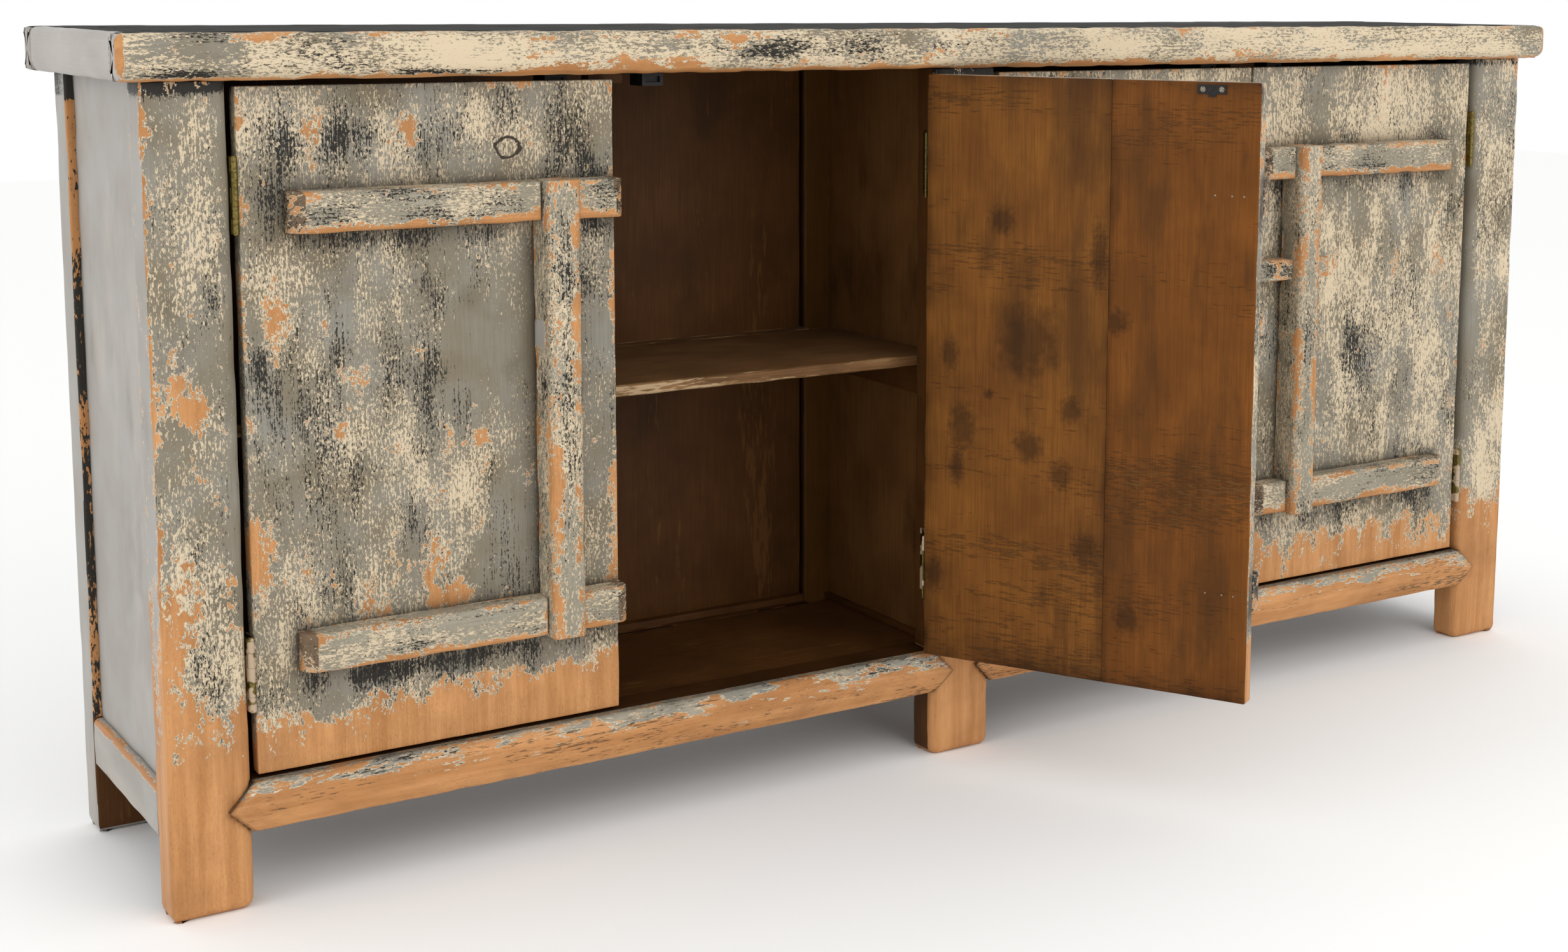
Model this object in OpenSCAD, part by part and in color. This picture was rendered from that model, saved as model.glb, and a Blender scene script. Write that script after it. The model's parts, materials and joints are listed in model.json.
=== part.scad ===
/* [Overall size] */
// Width of the top
top_w = 2000; // [1800:10:2200]
// Depth of the top, front to back
top_d = 385; // [360:5:440]
// Height of the top's upper face above the floor
top_h = 900; // [890:1:920]
// Thickness of the top
top_t = 48; // [40:1:50]
// How far the top reaches past the posts at each end
end_overhang = 25; // [10:1:40]
// How far the top reaches past the posts at the front
front_overhang = 25; // [20:1:40]
// How far the top reaches past the posts at the back
back_overhang = 20; // [0:1:30]

/* [Top boards] */
// Depth of the board along the front edge
front_board_d = 28; // [26:1:60]
// Depth of the board along the back edge
back_board_d = 30; // [20:1:50]
// Width of the end boards
end_board_w = 60; // [40:1:100]
// Number of centre boards
centre_board_count = 3; // [1:1:5]
// Gap left between the centre boards and their neighbours
centre_board_gap = 0.4; // [0.2:0.1:1]
// Radius of the worn upper edge
top_edge_r = 8; // [3:1:12]
// How far the lower front edge curves in
under_curve_d = 20; // [5:1:24]
// How high the lower edge starts to curve in
under_curve_h = 15; // [5:1:20]
// How far the lower edge curves in at each end
end_curve_d = 8; // [2:1:20]

/* [Posts] */
// Width of the four corner posts as seen from the front
post_w = 86; // [70:1:100]
// Width of the centre posts
centre_post_w = 88; // [70:1:100]
// Thickness of the posts, front to back
post_t = 44; // [36:1:50]
// Width of the back corner posts
back_post_w = 70; // [50:1:86]
// Thickness of the centre back post
back_centre_post_t = 32; // [20:1:40]
// Radius of the front posts' worn edges beside the doors
door_side_r = 12; // [4:1:16]
// Radius of the posts' other front edges
outer_side_r = 3; // [1:1:8]
// Radius of the worn edges under the feet
foot_r = 10; // [4:1:14]

/* [Rails and panels] */
// Height of the rails above the floor
rail_z = 82; // [60:1:100]
// Height of each rail
rail_h = 53; // [40:1:60]
// Thickness of the front rails
front_rail_t = 50; // [46:1:60]
// How far the front rails' faces bulge forward
rail_bulge = 7; // [2:1:12]
// Thickness of the side and back rails
rail_t = 30; // [24:1:40]
// Width of the sloped upper edge of the side rails
rail_slope = 6; // [2:1:12]
// Setback of the side panels from the posts' outer faces
panel_setback = 9; // [4:1:16]
// Thickness of the side panels, partition and floor panels
panel_t = 12; // [8:1:16]
// Thickness of the back panels
back_panel_t = 10; // [8:1:14]
// Distance from the back panels to the back of the posts
back_panel_setback = 10; // [6:1:16]
// Width of the groove in each back panel beside the centre post
back_groove_w = 9; // [4:1:14]
// Height of the floor panels' upper faces
floor_z = 127; // [118:1:132]
// Height and width of the strips between floor and partition
strip_w = 8; // [5:1:12]

/* [Shelves] */
// Height of the shelves' upper faces
shelf_z = 500; // [450:5:600]
// Thickness of the shelves
shelf_t = 14; // [10:1:20]
// Thickness of the cleats under the shelves
cleat_t = 18; // [12:1:24]
// Height of the cleats
cleat_h = 40; // [20:1:50]
// Distance from the shelves' front edges back to the cleats
cleat_setback = 16; // [5:1:40]

/* [Doors] */
// Thickness of the doors
door_t = 20; // [16:1:22]
// Setback of the doors' front faces from the posts' front faces
door_setback = 8; // [6:0.5:10]
// Gap between each door and its post, where the hinges are
hinge_gap = 8; // [8:0.5:10]
// Gap between the two doors of a pair
pair_gap = 3; // [2:0.5:6]
// Gap above the doors
gap_above = 6; // [3:0.5:8]
// Gap below the doors
gap_below = 4; // [2:0.5:8]
// Width of the wide board, on the hinge side of each door
wide_board_w = 236; // [200:1:300]
// How far door 2 stands open
door_2_open = 118.6; // [90:0.1:120]

/* [Battens] */
// Height of the horizontal battens
batten_h = 43; // [30:1:50]
// How far the horizontal battens stand out from the doors
batten_proud = 28; // [20:1:32]
// Height of the lower battens' bottom edges above the floor
lower_batten_z = 243; // [220:1:280]
// Height of the upper battens' bottom edges above the floor
upper_batten_z = 698; // [640:1:720]
// Distance from the door's hinge edge to the battens' ends
batten_inset = 46; // [44:1:80]
// Width of the bevels along the horizontal battens
batten_bevel = 5; // [2:1:8]
// Width of the sloped end of each batten on the hinge side
end_slope_w = 15; // [6:1:20]
// Depth of the sloped end of each batten on the hinge side
end_slope_d = 14; // [6:1:18]
// Width of the upright battens
upright_w = 40; // [34:1:50]
// How far the upright battens stand out from the doors
upright_proud = 40; // [34:1:46]
// Distance from the door's free edge to the upright batten
upright_inset = 57; // [50:1:70]
// How far the uprights reach past the horizontal battens
upright_reach = 3; // [0:1:20]
// Width of the bevels along the uprights
upright_bevel = 9; // [3:1:12]

/* [Cross bolts] */
// Height of the bolts' lower edges above the floor
bolt_z = 561.5; // [520:0.5:600]
// Height of the bolts
bolt_h = 29; // [20:1:36]
// Thickness of the bolts, front to back
bolt_t = 23.5; // [16:0.5:26]
// How far the bolts reach past the uprights, away from the pair's other door
bolt_tail = 28; // [10:1:40]
// Clearance between a bolt and its slot
bolt_clearance = 0.5; // [0.3:0.1:1]
// Clearance between a bolt and the face of its door
bolt_face_gap = 1.5; // [1:0.5:3]

/* [Hinges] */
// Length of each hinge
hinge_l = 77; // [60:1:80]
// Height of the lower hinges above the floor
lower_hinge_z = 209; // [180:1:240]
// Height of the upper hinges above the floor
upper_hinge_z = 700; // [660:1:740]
// Radius of the hinge knuckles
knuckle_r = 3.7; // [3:0.1:3.7]
// Radius of the hinge pins
pin_r = 1.5; // [1.2:0.1:2]
// Clearance between each pin and its knuckles
pin_clearance = 0.05; // [0.03:0.01:0.1]
// Gap between neighbouring knuckles
knuckle_gap = 0.3; // [0.2:0.1:0.6]
// Thickness of the hinge leaves
leaf_t = 1.8; // [1:0.1:2]

/* [Catches] */
// Distance from a door's free edge to its strike plate
strike_inset = 40; // [20:1:80]
// Width of the strike plates and catches
strike_w = 34; // [20:1:50]
// Height of the strike plates
strike_h = 10.5; // [8:0.5:14]
// Thickness of the strike plates
strike_t = 1.2; // [0.8:0.1:1.5]
// Width of the catches
catch_w = 26; // [20:1:34]
// Depth of the catches
catch_d = 30; // [20:1:40]
// Height of the catches
catch_h = 15; // [12:1:24]
// Width of the stop block behind each pair of doors
stop_w = 42; // [30:1:60]
// Height of the stop blocks
stop_h = 12; // [8:1:20]

/* [Hidden] */
$fn = 48;
arc_steps = 6;

// The origin is under the centre front foot, in the middle of that post.
post_front = -post_t / 2;
top_back = post_front + top_d - front_overhang;
back_y = top_back - back_overhang;
half_w = top_w / 2 - end_overhang;
frame_top = top_h - top_t;
post_back = post_front + post_t;
back_post_front = back_y - post_t;
centre_back_front = back_y - back_centre_post_t;

// Seams between the boards of the top
front_seam = post_front - front_overhang + front_board_d;
back_seam = top_back - back_board_d;
end_seam = top_w / 2 - end_board_w;

// Rails and panels
rail_top = rail_z + rail_h;
rail_middle = rail_z + rail_h / 2;
rail_tip = rail_h / 2;
panel_outer = half_w - panel_setback;
panel_inner = panel_outer - panel_t;
side_rail_inner = half_w - rail_t;
partition_half = panel_t / 2;
back_panel_front = back_y - back_panel_setback - back_panel_t;
back_rail_front = back_y - rail_t;
front_rail_back = post_front + front_rail_t;
back_post_inner = half_w - back_post_w;
back_groove_t = back_panel_t * 0.6;

// Doors: distances are from the hinge axis, along the closed door
door_inner_x = centre_post_w / 2;
door_outer_x = half_w - post_w;
door_low = rail_top + gap_below;
door_high = frame_top - gap_above;
door_h = door_high - door_low;
door_w = (door_outer_x - door_inner_x - 2 * hinge_gap - pair_gap) / 2;
hinge_y = post_front + door_setback / 2;
hinge_edge = hinge_gap / 2;
free_edge = hinge_edge + door_w;
board_joint = hinge_edge + wide_board_w;
door_front = door_setback / 2;
door_back = door_front + door_t;
pair_x = (door_inner_x + door_outer_x) / 2;

// Battens and bolts, from the same axis
batten_start = hinge_edge + batten_inset;
batten_front = door_front - batten_proud;
upright_front = door_front - upright_proud;
upright_end = free_edge - upright_inset;
upright_start = upright_end - upright_w;
upright_low = lower_batten_z - upright_reach;
upright_high = upper_batten_z + batten_h + 1;
bolt_back = door_front - bolt_face_gap;
bolt_front = bolt_back - bolt_t;
slot_front = bolt_front - bolt_clearance;
slot_low = bolt_z - bolt_clearance;
slot_h = bolt_h + 2 * bolt_clearance;

// Hinges
knuckle_count = 5;
knuckle_l = (hinge_l - (knuckle_count - 1) * knuckle_gap) / knuckle_count;
knuckle_pitch = knuckle_l + knuckle_gap;
leaf_clear_r = knuckle_r + 0.4;
pin_head_r = 2.8;
pin_head_h = 1;

// Catches
strike_end = free_edge - strike_inset;
strike_z = door_high - strike_h - 3;
catch_front = hinge_y + door_back + 2.5;
stop_front = hinge_y + door_back + 0.5;

paint = "#8f8c80";
side_paint = "#b3afa4";
dark_top = "#3f4443";
pine = "#d09a66";
stain = "#6a4018";
brass = "#8a7a3a";
black = "#1c1b1a";

// Points along an elliptical arc from one angle to another
function arc_points(centre, rx, ry, from, to) = [
    for (i = [0 : arc_steps])
        let (a = from + (to - from) * i / arc_steps)
            [centre[0] + rx * cos(a), centre[1] + ry * sin(a)]
];

// A box between two corners
module box(low, high) {
    translate(low) cube(high - low);
}

// Extrudes an outline drawn in X and Z through a range of Y
module along_y(y_low, y_high) {
    translate([0, y_high, 0]) rotate([90, 0, 0]) linear_extrude(y_high - y_low) children();
}

// Extrudes an outline drawn in Y and Z through a range of X
module along_x(x_low, x_high) {
    translate([x_low, 0, 0]) rotate([90, 0, 90]) linear_extrude(x_high - x_low) children();
}

// Copies a shape made for the left side to the right side
module right_side() {
    mirror([1, 0, 0]) children();
}

// ---- Top ----

// Outline of the top in Y and Z: round upper edge, lower edge curved in
module top_front_profile() {
    front = post_front - front_overhang;
    polygon(concat(
        arc_points([front + under_curve_d, frame_top + under_curve_h],
                   under_curve_d, under_curve_h, 270, 180),
        arc_points([front + top_edge_r, top_h - top_edge_r], top_edge_r, top_edge_r, 180, 90),
        [[top_back, top_h], [top_back, frame_top]]
    ));
}

// Outline of the top in X and Z, the same at both ends
module top_end_profile() {
    end = top_w / 2;
    low_curve = arc_points([end - end_curve_d, frame_top + under_curve_h],
                           end_curve_d, under_curve_h, 270, 360);
    high_curve = arc_points([end - top_edge_r, top_h - top_edge_r],
                            top_edge_r, top_edge_r, 0, 90);
    right = concat(low_curve, high_curve);
    count = len(right);
    left = [for (i = [1 : count]) [-right[count - i][0], right[count - i][1]]];
    polygon(concat(right, left));
}

// Outline of the top in X and Y with round front corners
module top_plan() {
    front = post_front - front_overhang;
    end = top_w / 2;
    r = top_edge_r;
    polygon(concat(
        arc_points([-end + r, front + r], r, r, 180, 270),
        arc_points([end - r, front + r], r, r, 270, 360),
        [[end, top_back], [-end, top_back]]
    ));
}

// The whole top before it is divided into boards
module whole_top() {
    front = post_front - front_overhang;
    intersection() {
        along_x(-top_w / 2, top_w / 2) top_front_profile();
        along_y(front, top_back) top_end_profile();
        translate([0, 0, frame_top]) linear_extrude(top_t) top_plan();
    }
}

// The part of the top between two corners in X and Y
module top_piece(low, high) {
    intersection() {
        whole_top();
        box([low[0], low[1], frame_top - 1], [high[0], high[1], top_h + 1]);
    }
}

module top_front_board() {
    color(paint)
        top_piece([-top_w / 2, post_front - front_overhang], [top_w / 2, front_seam]);
}

module top_back_board() {
    color(paint) top_piece([-top_w / 2, back_seam], [top_w / 2, top_back]);
}

module top_left_end_board() {
    color(side_paint) top_piece([-top_w / 2, front_seam], [-end_seam, back_seam]);
}

module top_right_end_board() {
    color(side_paint) right_side() top_piece([-top_w / 2, front_seam], [-end_seam, back_seam]);
}

module top_centre_boards() {
    pitch = (back_seam - front_seam) / centre_board_count;
    inset = centre_board_gap / 2;
    color(dark_top)
        for (i = [0 : centre_board_count - 1])
            box([-end_seam, front_seam + i * pitch + inset, frame_top],
                [end_seam, front_seam + (i + 1) * pitch - inset, top_h]);
}

// ---- Posts ----

// Outline of a post in X and Y, from x_low to x_high, with worn front edges
module post_plan(x_low, x_high, y_low, y_high, r_left, r_right) {
    polygon(concat(
        arc_points([x_low + r_left, y_low + r_left], r_left, r_left, 180, 270),
        arc_points([x_high - r_right, y_low + r_right], r_right, r_right, 270, 360),
        [[x_high, y_high], [x_low, y_high]]
    ));
}

// Outline of a post's side or front, with worn edges under the foot
module foot_profile(low, high) {
    polygon(concat(
        arc_points([low + foot_r, foot_r], foot_r, foot_r, 180, 270),
        arc_points([high - foot_r, foot_r], foot_r, foot_r, 270, 360),
        [[high, frame_top], [low, frame_top]]
    ));
}

module post(x_low, x_high, y_low, y_high, r_left, r_right) {
    intersection() {
        linear_extrude(frame_top) post_plan(x_low, x_high, y_low, y_high, r_left, r_right);
        along_y(y_low, y_high) foot_profile(x_low, x_high);
        along_x(x_low, x_high) foot_profile(y_low, y_high);
    }
}

// Outline of the left front rail in X and Z, with a 45 degree point at each end
module rail_outline() {
    polygon([
        [-door_outer_x, rail_z],
        [-door_inner_x, rail_z],
        [-door_inner_x + rail_tip, rail_middle],
        [-door_inner_x, rail_top],
        [-door_outer_x, rail_top],
        [-door_outer_x - rail_tip, rail_middle]
    ]);
}

// The two front rails' outlines as cutters for the posts
module rail_notches() {
    along_y(post_front - 1, post_back + 1) rail_outline();
    right_side() along_y(post_front - 1, post_back + 1) rail_outline();
}

module left_front_post() {
    difference() {
        post(-half_w, -door_outer_x, post_front, post_back, outer_side_r, door_side_r);
        rail_notches();
    }
}

module front_post_left() {
    color(paint) left_front_post();
}

module front_post_right() {
    color(paint) right_side() left_front_post();
}

module front_post_centre() {
    color(pine) difference() {
        post(-door_inner_x, door_inner_x, post_front, post_back, door_side_r, door_side_r);
        rail_notches();
    }
}

module left_back_post() {
    post(-half_w, -back_post_inner, back_post_front, back_y, outer_side_r, outer_side_r);
}

module back_post_left() {
    color(side_paint) left_back_post();
}

module back_post_right() {
    color(side_paint) right_side() left_back_post();
}

module back_post_centre() {
    color(stain)
        post(-door_inner_x, door_inner_x, centre_back_front, back_y, outer_side_r, outer_side_r);
}

// ---- Rails ----

// Outline of a front rail in Y and Z, its face bulging forward
module front_rail_profile() {
    bulge = [
        for (i = [0 : 2 * arc_steps])
            let (u = i / arc_steps - 1)
                [post_front - rail_bulge * (1 - u * u), rail_middle - u * rail_h / 2]
    ];
    polygon(concat(bulge, [[front_rail_back, rail_z], [front_rail_back, rail_top]]));
}

module left_front_rail() {
    intersection() {
        along_x(-half_w, 0) front_rail_profile();
        along_y(post_front - rail_bulge, front_rail_back) rail_outline();
    }
}

module front_rail_left() {
    color(pine) left_front_rail();
}

module front_rail_right() {
    color(pine) right_side() left_front_rail();
}

module left_side_rail() {
    along_y(post_back, back_post_front)
        polygon([
            [-half_w, rail_z],
            [-side_rail_inner, rail_z],
            [-side_rail_inner, rail_top],
            [-half_w + rail_slope, rail_top],
            [-half_w, rail_top - rail_slope]
        ]);
}

module side_rail_left() {
    color(side_paint) left_side_rail();
}

module side_rail_right() {
    color(side_paint) right_side() left_side_rail();
}

module left_back_rail() {
    box([-back_post_inner, back_rail_front, rail_z], [-door_inner_x, back_y, rail_top]);
}

module back_rail_left() {
    color(stain) left_back_rail();
}

module back_rail_right() {
    color(stain) right_side() left_back_rail();
}

// ---- Panels ----

module left_side_panel() {
    box([-panel_outer, post_back, rail_top], [-panel_inner, back_post_front, frame_top]);
}

module side_panel_left() {
    color(side_paint) left_side_panel();
}

module side_panel_right() {
    color(side_paint) right_side() left_side_panel();
}

module left_back_panel() {
    panel_back = back_panel_front + back_panel_t;
    difference() {
        box([-back_post_inner, back_panel_front, rail_top], [-door_inner_x, panel_back, frame_top]);
        box([-door_inner_x - back_groove_w, back_panel_front - 1, rail_top - 1],
            [-door_inner_x + 1, back_panel_front + back_groove_t, frame_top + 1]);
    }
}

module back_panel_left() {
    color(stain) left_back_panel();
}

module back_panel_right() {
    color(stain) right_side() left_back_panel();
}

// A level board from the outer wall to the partition, notched round the back posts
module bay_board(outer_x, front_y, rear_y, z_low, z_high) {
    translate([0, 0, z_low]) linear_extrude(z_high - z_low)
        polygon([
            [-outer_x, front_y],
            [-partition_half, front_y],
            [-partition_half, centre_back_front],
            [-door_inner_x, centre_back_front],
            [-door_inner_x, rear_y],
            [-back_post_inner, rear_y],
            [-back_post_inner, back_post_front],
            [-outer_x, back_post_front]
        ]);
}

module left_floor_panel() {
    bay_board(side_rail_inner, front_rail_back, back_rail_front, floor_z - panel_t, floor_z);
}

module floor_panel_left() {
    color(stain) left_floor_panel();
}

module floor_panel_right() {
    color(stain) right_side() left_floor_panel();
}

module centre_partition() {
    color(stain)
        box([-partition_half, post_back, floor_z - panel_t],
            [partition_half, centre_back_front, frame_top]);
}

module left_partition_strip() {
    box([-partition_half - strip_w, front_rail_back, floor_z],
        [-partition_half, centre_back_front, floor_z + strip_w]);
}

module partition_strips() {
    color(stain) {
        left_partition_strip();
        right_side() left_partition_strip();
    }
}

// ---- Shelves ----

module left_shelf() {
    bay_board(panel_inner, post_back, back_panel_front, shelf_z - shelf_t, shelf_z);
}

module shelf_left() {
    color(stain) left_shelf();
}

module shelf_right() {
    color(stain) right_side() left_shelf();
}

// One cleat, from its wall towards the middle of its bay
module cleat(x_low) {
    cleat_top = shelf_z - shelf_t;
    box([x_low, post_back + cleat_setback, cleat_top - cleat_h],
        [x_low + cleat_t, back_post_front, cleat_top]);
}

module left_cleats() {
    cleat(-panel_inner);
    cleat(-partition_half - cleat_t);
}

module shelf_cleats() {
    color(stain) {
        left_cleats();
        right_side() left_cleats();
    }
}

// ---- Doors ----

// Doors are numbered from the left. Each is drawn closed, with its hinge axis at the
// origin and its free edge at +X; doors 2 and 4 are mirrored to hinge on the right.
function hinge_x(n) = [
    -door_outer_x + hinge_edge,
    -door_inner_x - hinge_edge,
    door_inner_x + hinge_edge,
    door_outer_x - hinge_edge
][n - 1];
function hinged_right(n) = n % 2 == 0;
function open_angle(n) = n == 2 ? door_2_open : 0;

module on_door(n) {
    translate([hinge_x(n), hinge_y, 0])
        rotate([0, 0, open_angle(n)])
            mirror([hinged_right(n) ? 1 : 0, 0, 0])
                children();
}

module wide_board(n) {
    color(paint) on_door(n)
        box([hinge_edge, door_front, door_low], [board_joint, door_back, door_high]);
}

module narrow_board(n) {
    color(paint) on_door(n)
        box([board_joint, door_front, door_low], [free_edge, door_back, door_high]);
}

// Outline of a horizontal batten's end in Y and Z, with bevelled front edges
module batten_profile(z_low) {
    z_high = z_low + batten_h;
    polygon([
        [door_front, z_low],
        [batten_front + batten_bevel, z_low],
        [batten_front, z_low + batten_bevel],
        [batten_front, z_high - batten_bevel],
        [batten_front + batten_bevel, z_high],
        [door_front, z_high]
    ]);
}

// Outline in X and Y of a batten with sloped front corners
module sloped_plan(x_low, x_high, low_slope, high_slope) {
    polygon([
        [x_low, door_front],
        [x_low, batten_front + low_slope[1]],
        [x_low + low_slope[0], batten_front],
        [x_high - high_slope[0], batten_front],
        [x_high, batten_front + high_slope[1]],
        [x_high, door_front]
    ]);
}

// One piece of a horizontal batten
module batten_piece(x_low, x_high, z_low, low_slope, high_slope) {
    intersection() {
        along_x(x_low, x_high) batten_profile(z_low);
        translate([0, 0, z_low - 1]) linear_extrude(batten_h + 2)
            sloped_plan(x_low, x_high, low_slope, high_slope);
    }
}

// The upright divides each horizontal batten into a long and a short piece
module cross_battens(n) {
    hinge_slope = [end_slope_w, end_slope_d];
    free_slope = hinge_slope * 0.7;
    middle_slope = [2, 5];
    color(paint) on_door(n)
        for (z = [lower_batten_z, upper_batten_z]) {
            batten_piece(batten_start, upright_start, z, hinge_slope, middle_slope);
            batten_piece(upright_end, free_edge, z, middle_slope, free_slope);
        }
}

// Outline of an upright batten in X and Y
module upright_plan() {
    polygon([
        [upright_start, door_front],
        [upright_start, upright_front + upright_bevel],
        [upright_start + upright_bevel, upright_front],
        [upright_end - upright_bevel, upright_front],
        [upright_end, upright_front + upright_bevel],
        [upright_end, door_front]
    ]);
}

module upright_batten(n) {
    color(paint) on_door(n) difference() {
        translate([0, 0, upright_low]) linear_extrude(upright_high - upright_low) upright_plan();
        box([upright_start - 1, slot_front, slot_low],
            [upright_end + 1, door_front + 1, slot_low + slot_h]);
    }
}

// Fills the slot in the upright of a door that has no bolt
module bolt_plug(n) {
    color(pine) on_door(n)
        box([upright_start, slot_front, slot_low], [upright_end, door_front, slot_low + slot_h]);
}

// A bolt drawn back, its end flush with the door's free edge
module cross_bolt(n) {
    bolt_bevel = 2;
    color(paint) on_door(n)
        along_x(upright_start - bolt_tail, free_edge)
            polygon([
                [bolt_back, bolt_z],
                [bolt_front + bolt_bevel, bolt_z],
                [bolt_front, bolt_z + bolt_bevel],
                [bolt_front, bolt_z + bolt_h - bolt_bevel],
                [bolt_front + bolt_bevel, bolt_z + bolt_h],
                [bolt_back, bolt_z + bolt_h]
            ]);
}

// A flat strike plate with two screw heads and a short tongue
module strike(n) {
    screw_r = 2.6;
    screw_h = 0.4;
    tongue_w = 9;
    tongue_h = 3;
    screw_inset = 6;
    color(black) on_door(n) {
        box([strike_end - strike_w, door_back, strike_z],
            [strike_end, door_back + strike_t, strike_z + strike_h]);
        box([strike_end - (strike_w + tongue_w) / 2, door_back, strike_z - tongue_h],
            [strike_end - (strike_w - tongue_w) / 2, door_back + strike_t, strike_z + 1]);
        for (x = [strike_end - strike_w + screw_inset, strike_end - screw_inset])
            translate([x, door_back + strike_t + screw_h, strike_z + strike_h / 2])
                rotate([90, 0, 0]) cylinder(r = screw_r, h = screw_h + strike_t / 2);
    }
}

// ---- Hinges ----

// Knuckles of one leaf, from the first given place in steps of two
module knuckles(first) {
    for (i = [first : 2 : knuckle_count - 1])
        translate([0, 0, i * knuckle_pitch]) cylinder(r = knuckle_r, h = knuckle_l);
}

// Room for the other leaf's knuckles
module knuckle_room(first) {
    for (i = [first : 2 : knuckle_count - 1])
        translate([0, 0, i * knuckle_pitch - knuckle_gap])
            cylinder(r = leaf_clear_r, h = knuckle_l + 2 * knuckle_gap);
}

// One leaf lying against x = face_x, with the knuckles numbered from first
module leaf(face_x, plate_x, first, other) {
    difference() {
        union() {
            difference() {
                box([min(face_x, plate_x), 0, 0], [max(face_x, plate_x), door_back, hinge_l]);
                knuckle_room(other);
            }
            knuckles(first);
        }
        translate([0, 0, -1]) cylinder(r = pin_r + pin_clearance, h = hinge_l + 2);
    }
}

module post_leaf() {
    leaf(-hinge_edge, -hinge_edge + leaf_t, 0, 1);
}

module door_leaf() {
    leaf(hinge_edge, hinge_edge - leaf_t, 1, 0);
}

// Places a hinge part that stays on the posts, for every door
module on_posts() {
    for (n = [1 : 4], z = [lower_hinge_z, upper_hinge_z])
        translate([hinge_x(n), hinge_y, z])
            mirror([hinged_right(n) ? 1 : 0, 0, 0])
                children();
}

module hinge_post_leaves() {
    color(brass) on_posts() post_leaf();
}

module hinge_pins() {
    color(brass) on_posts() {
        translate([0, 0, -pin_head_h]) cylinder(r = pin_head_r, h = pin_head_h);
        translate([0, 0, -pin_head_h / 2]) cylinder(r = pin_r, h = hinge_l + pin_head_h);
        translate([0, 0, hinge_l]) cylinder(r = pin_head_r, h = pin_head_h);
    }
}

module hinge_leaves(n) {
    color(brass) on_door(n)
        for (z = [lower_hinge_z, upper_hinge_z])
            translate([0, 0, z]) door_leaf();
}

// ---- Catches and stops ----

// Housing of one catch, open at the front
module catch(x_middle) {
    wall = 4;
    difference() {
        box([x_middle - catch_w / 2, catch_front, frame_top - catch_h],
            [x_middle + catch_w / 2, catch_front + catch_d, frame_top]);
        box([x_middle - catch_w / 2 + wall, catch_front - 1, frame_top - catch_h + wall],
            [x_middle + catch_w / 2 - wall, catch_front + wall, frame_top - wall]);
    }
}

module door_catches() {
    reach = strike_end - strike_w / 2;
    color(black)
        for (n = [1 : 4])
            catch(hinge_x(n) + (hinged_right(n) ? -reach : reach));
}

module stop_block() {
    stop_d = 18;
    box([-pair_x - stop_w / 2, stop_front, frame_top - stop_h],
        [-pair_x + stop_w / 2, stop_front + stop_d, frame_top]);
}

module door_stop_blocks() {
    color(stain) {
        stop_block();
        right_side() stop_block();
    }
}

// ---- One module for each door's pieces ----

module door_1_wide_board() { wide_board(1); }
module door_1_narrow_board() { narrow_board(1); }
module door_1_cross_battens() { cross_battens(1); }
module door_1_upright_batten() { upright_batten(1); }
module door_1_bolt_plug() { bolt_plug(1); }
module door_1_hinge_leaves() { hinge_leaves(1); }
module door_1_strike() { strike(1); }

module door_2_wide_board() { wide_board(2); }
module door_2_narrow_board() { narrow_board(2); }
module door_2_cross_battens() { cross_battens(2); }
module door_2_upright_batten() { upright_batten(2); }
module door_2_hinge_leaves() { hinge_leaves(2); }
module door_2_strike() { strike(2); }
module cross_bolt_left() { cross_bolt(2); }

module door_3_wide_board() { wide_board(3); }
module door_3_narrow_board() { narrow_board(3); }
module door_3_cross_battens() { cross_battens(3); }
module door_3_upright_batten() { upright_batten(3); }
module door_3_bolt_plug() { bolt_plug(3); }
module door_3_hinge_leaves() { hinge_leaves(3); }
module door_3_strike() { strike(3); }

module door_4_wide_board() { wide_board(4); }
module door_4_narrow_board() { narrow_board(4); }
module door_4_cross_battens() { cross_battens(4); }
module door_4_upright_batten() { upright_batten(4); }
module door_4_hinge_leaves() { hinge_leaves(4); }
module door_4_strike() { strike(4); }
module cross_bolt_right() { cross_bolt(4); }

top_front_board();
top_back_board();
top_left_end_board();
top_right_end_board();
top_centre_boards();
front_post_left();
front_post_centre();
front_post_right();
back_post_left();
back_post_centre();
back_post_right();
front_rail_left();
front_rail_right();
side_rail_left();
side_rail_right();
back_rail_left();
back_rail_right();
side_panel_left();
side_panel_right();
back_panel_left();
back_panel_right();
floor_panel_left();
floor_panel_right();
centre_partition();
partition_strips();
shelf_left();
shelf_right();
shelf_cleats();
door_stop_blocks();
door_catches();
hinge_post_leaves();
hinge_pins();
door_1_wide_board();
door_1_narrow_board();
door_1_cross_battens();
door_1_upright_batten();
door_1_bolt_plug();
door_1_hinge_leaves();
door_1_strike();
door_2_wide_board();
door_2_narrow_board();
door_2_cross_battens();
door_2_upright_batten();
door_2_hinge_leaves();
door_2_strike();
cross_bolt_left();
door_3_wide_board();
door_3_narrow_board();
door_3_cross_battens();
door_3_upright_batten();
door_3_bolt_plug();
door_3_hinge_leaves();
door_3_strike();
door_4_wide_board();
door_4_narrow_board();
door_4_cross_battens();
door_4_upright_batten();
door_4_hinge_leaves();
door_4_strike();
cross_bolt_right();
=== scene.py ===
# Sideboard buffet: worn grey paint over cream over pine outside, brown stain inside, brass butt hinges.
import json
import math
import bpy
import numpy as np
from mathutils import Matrix, Vector


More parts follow.
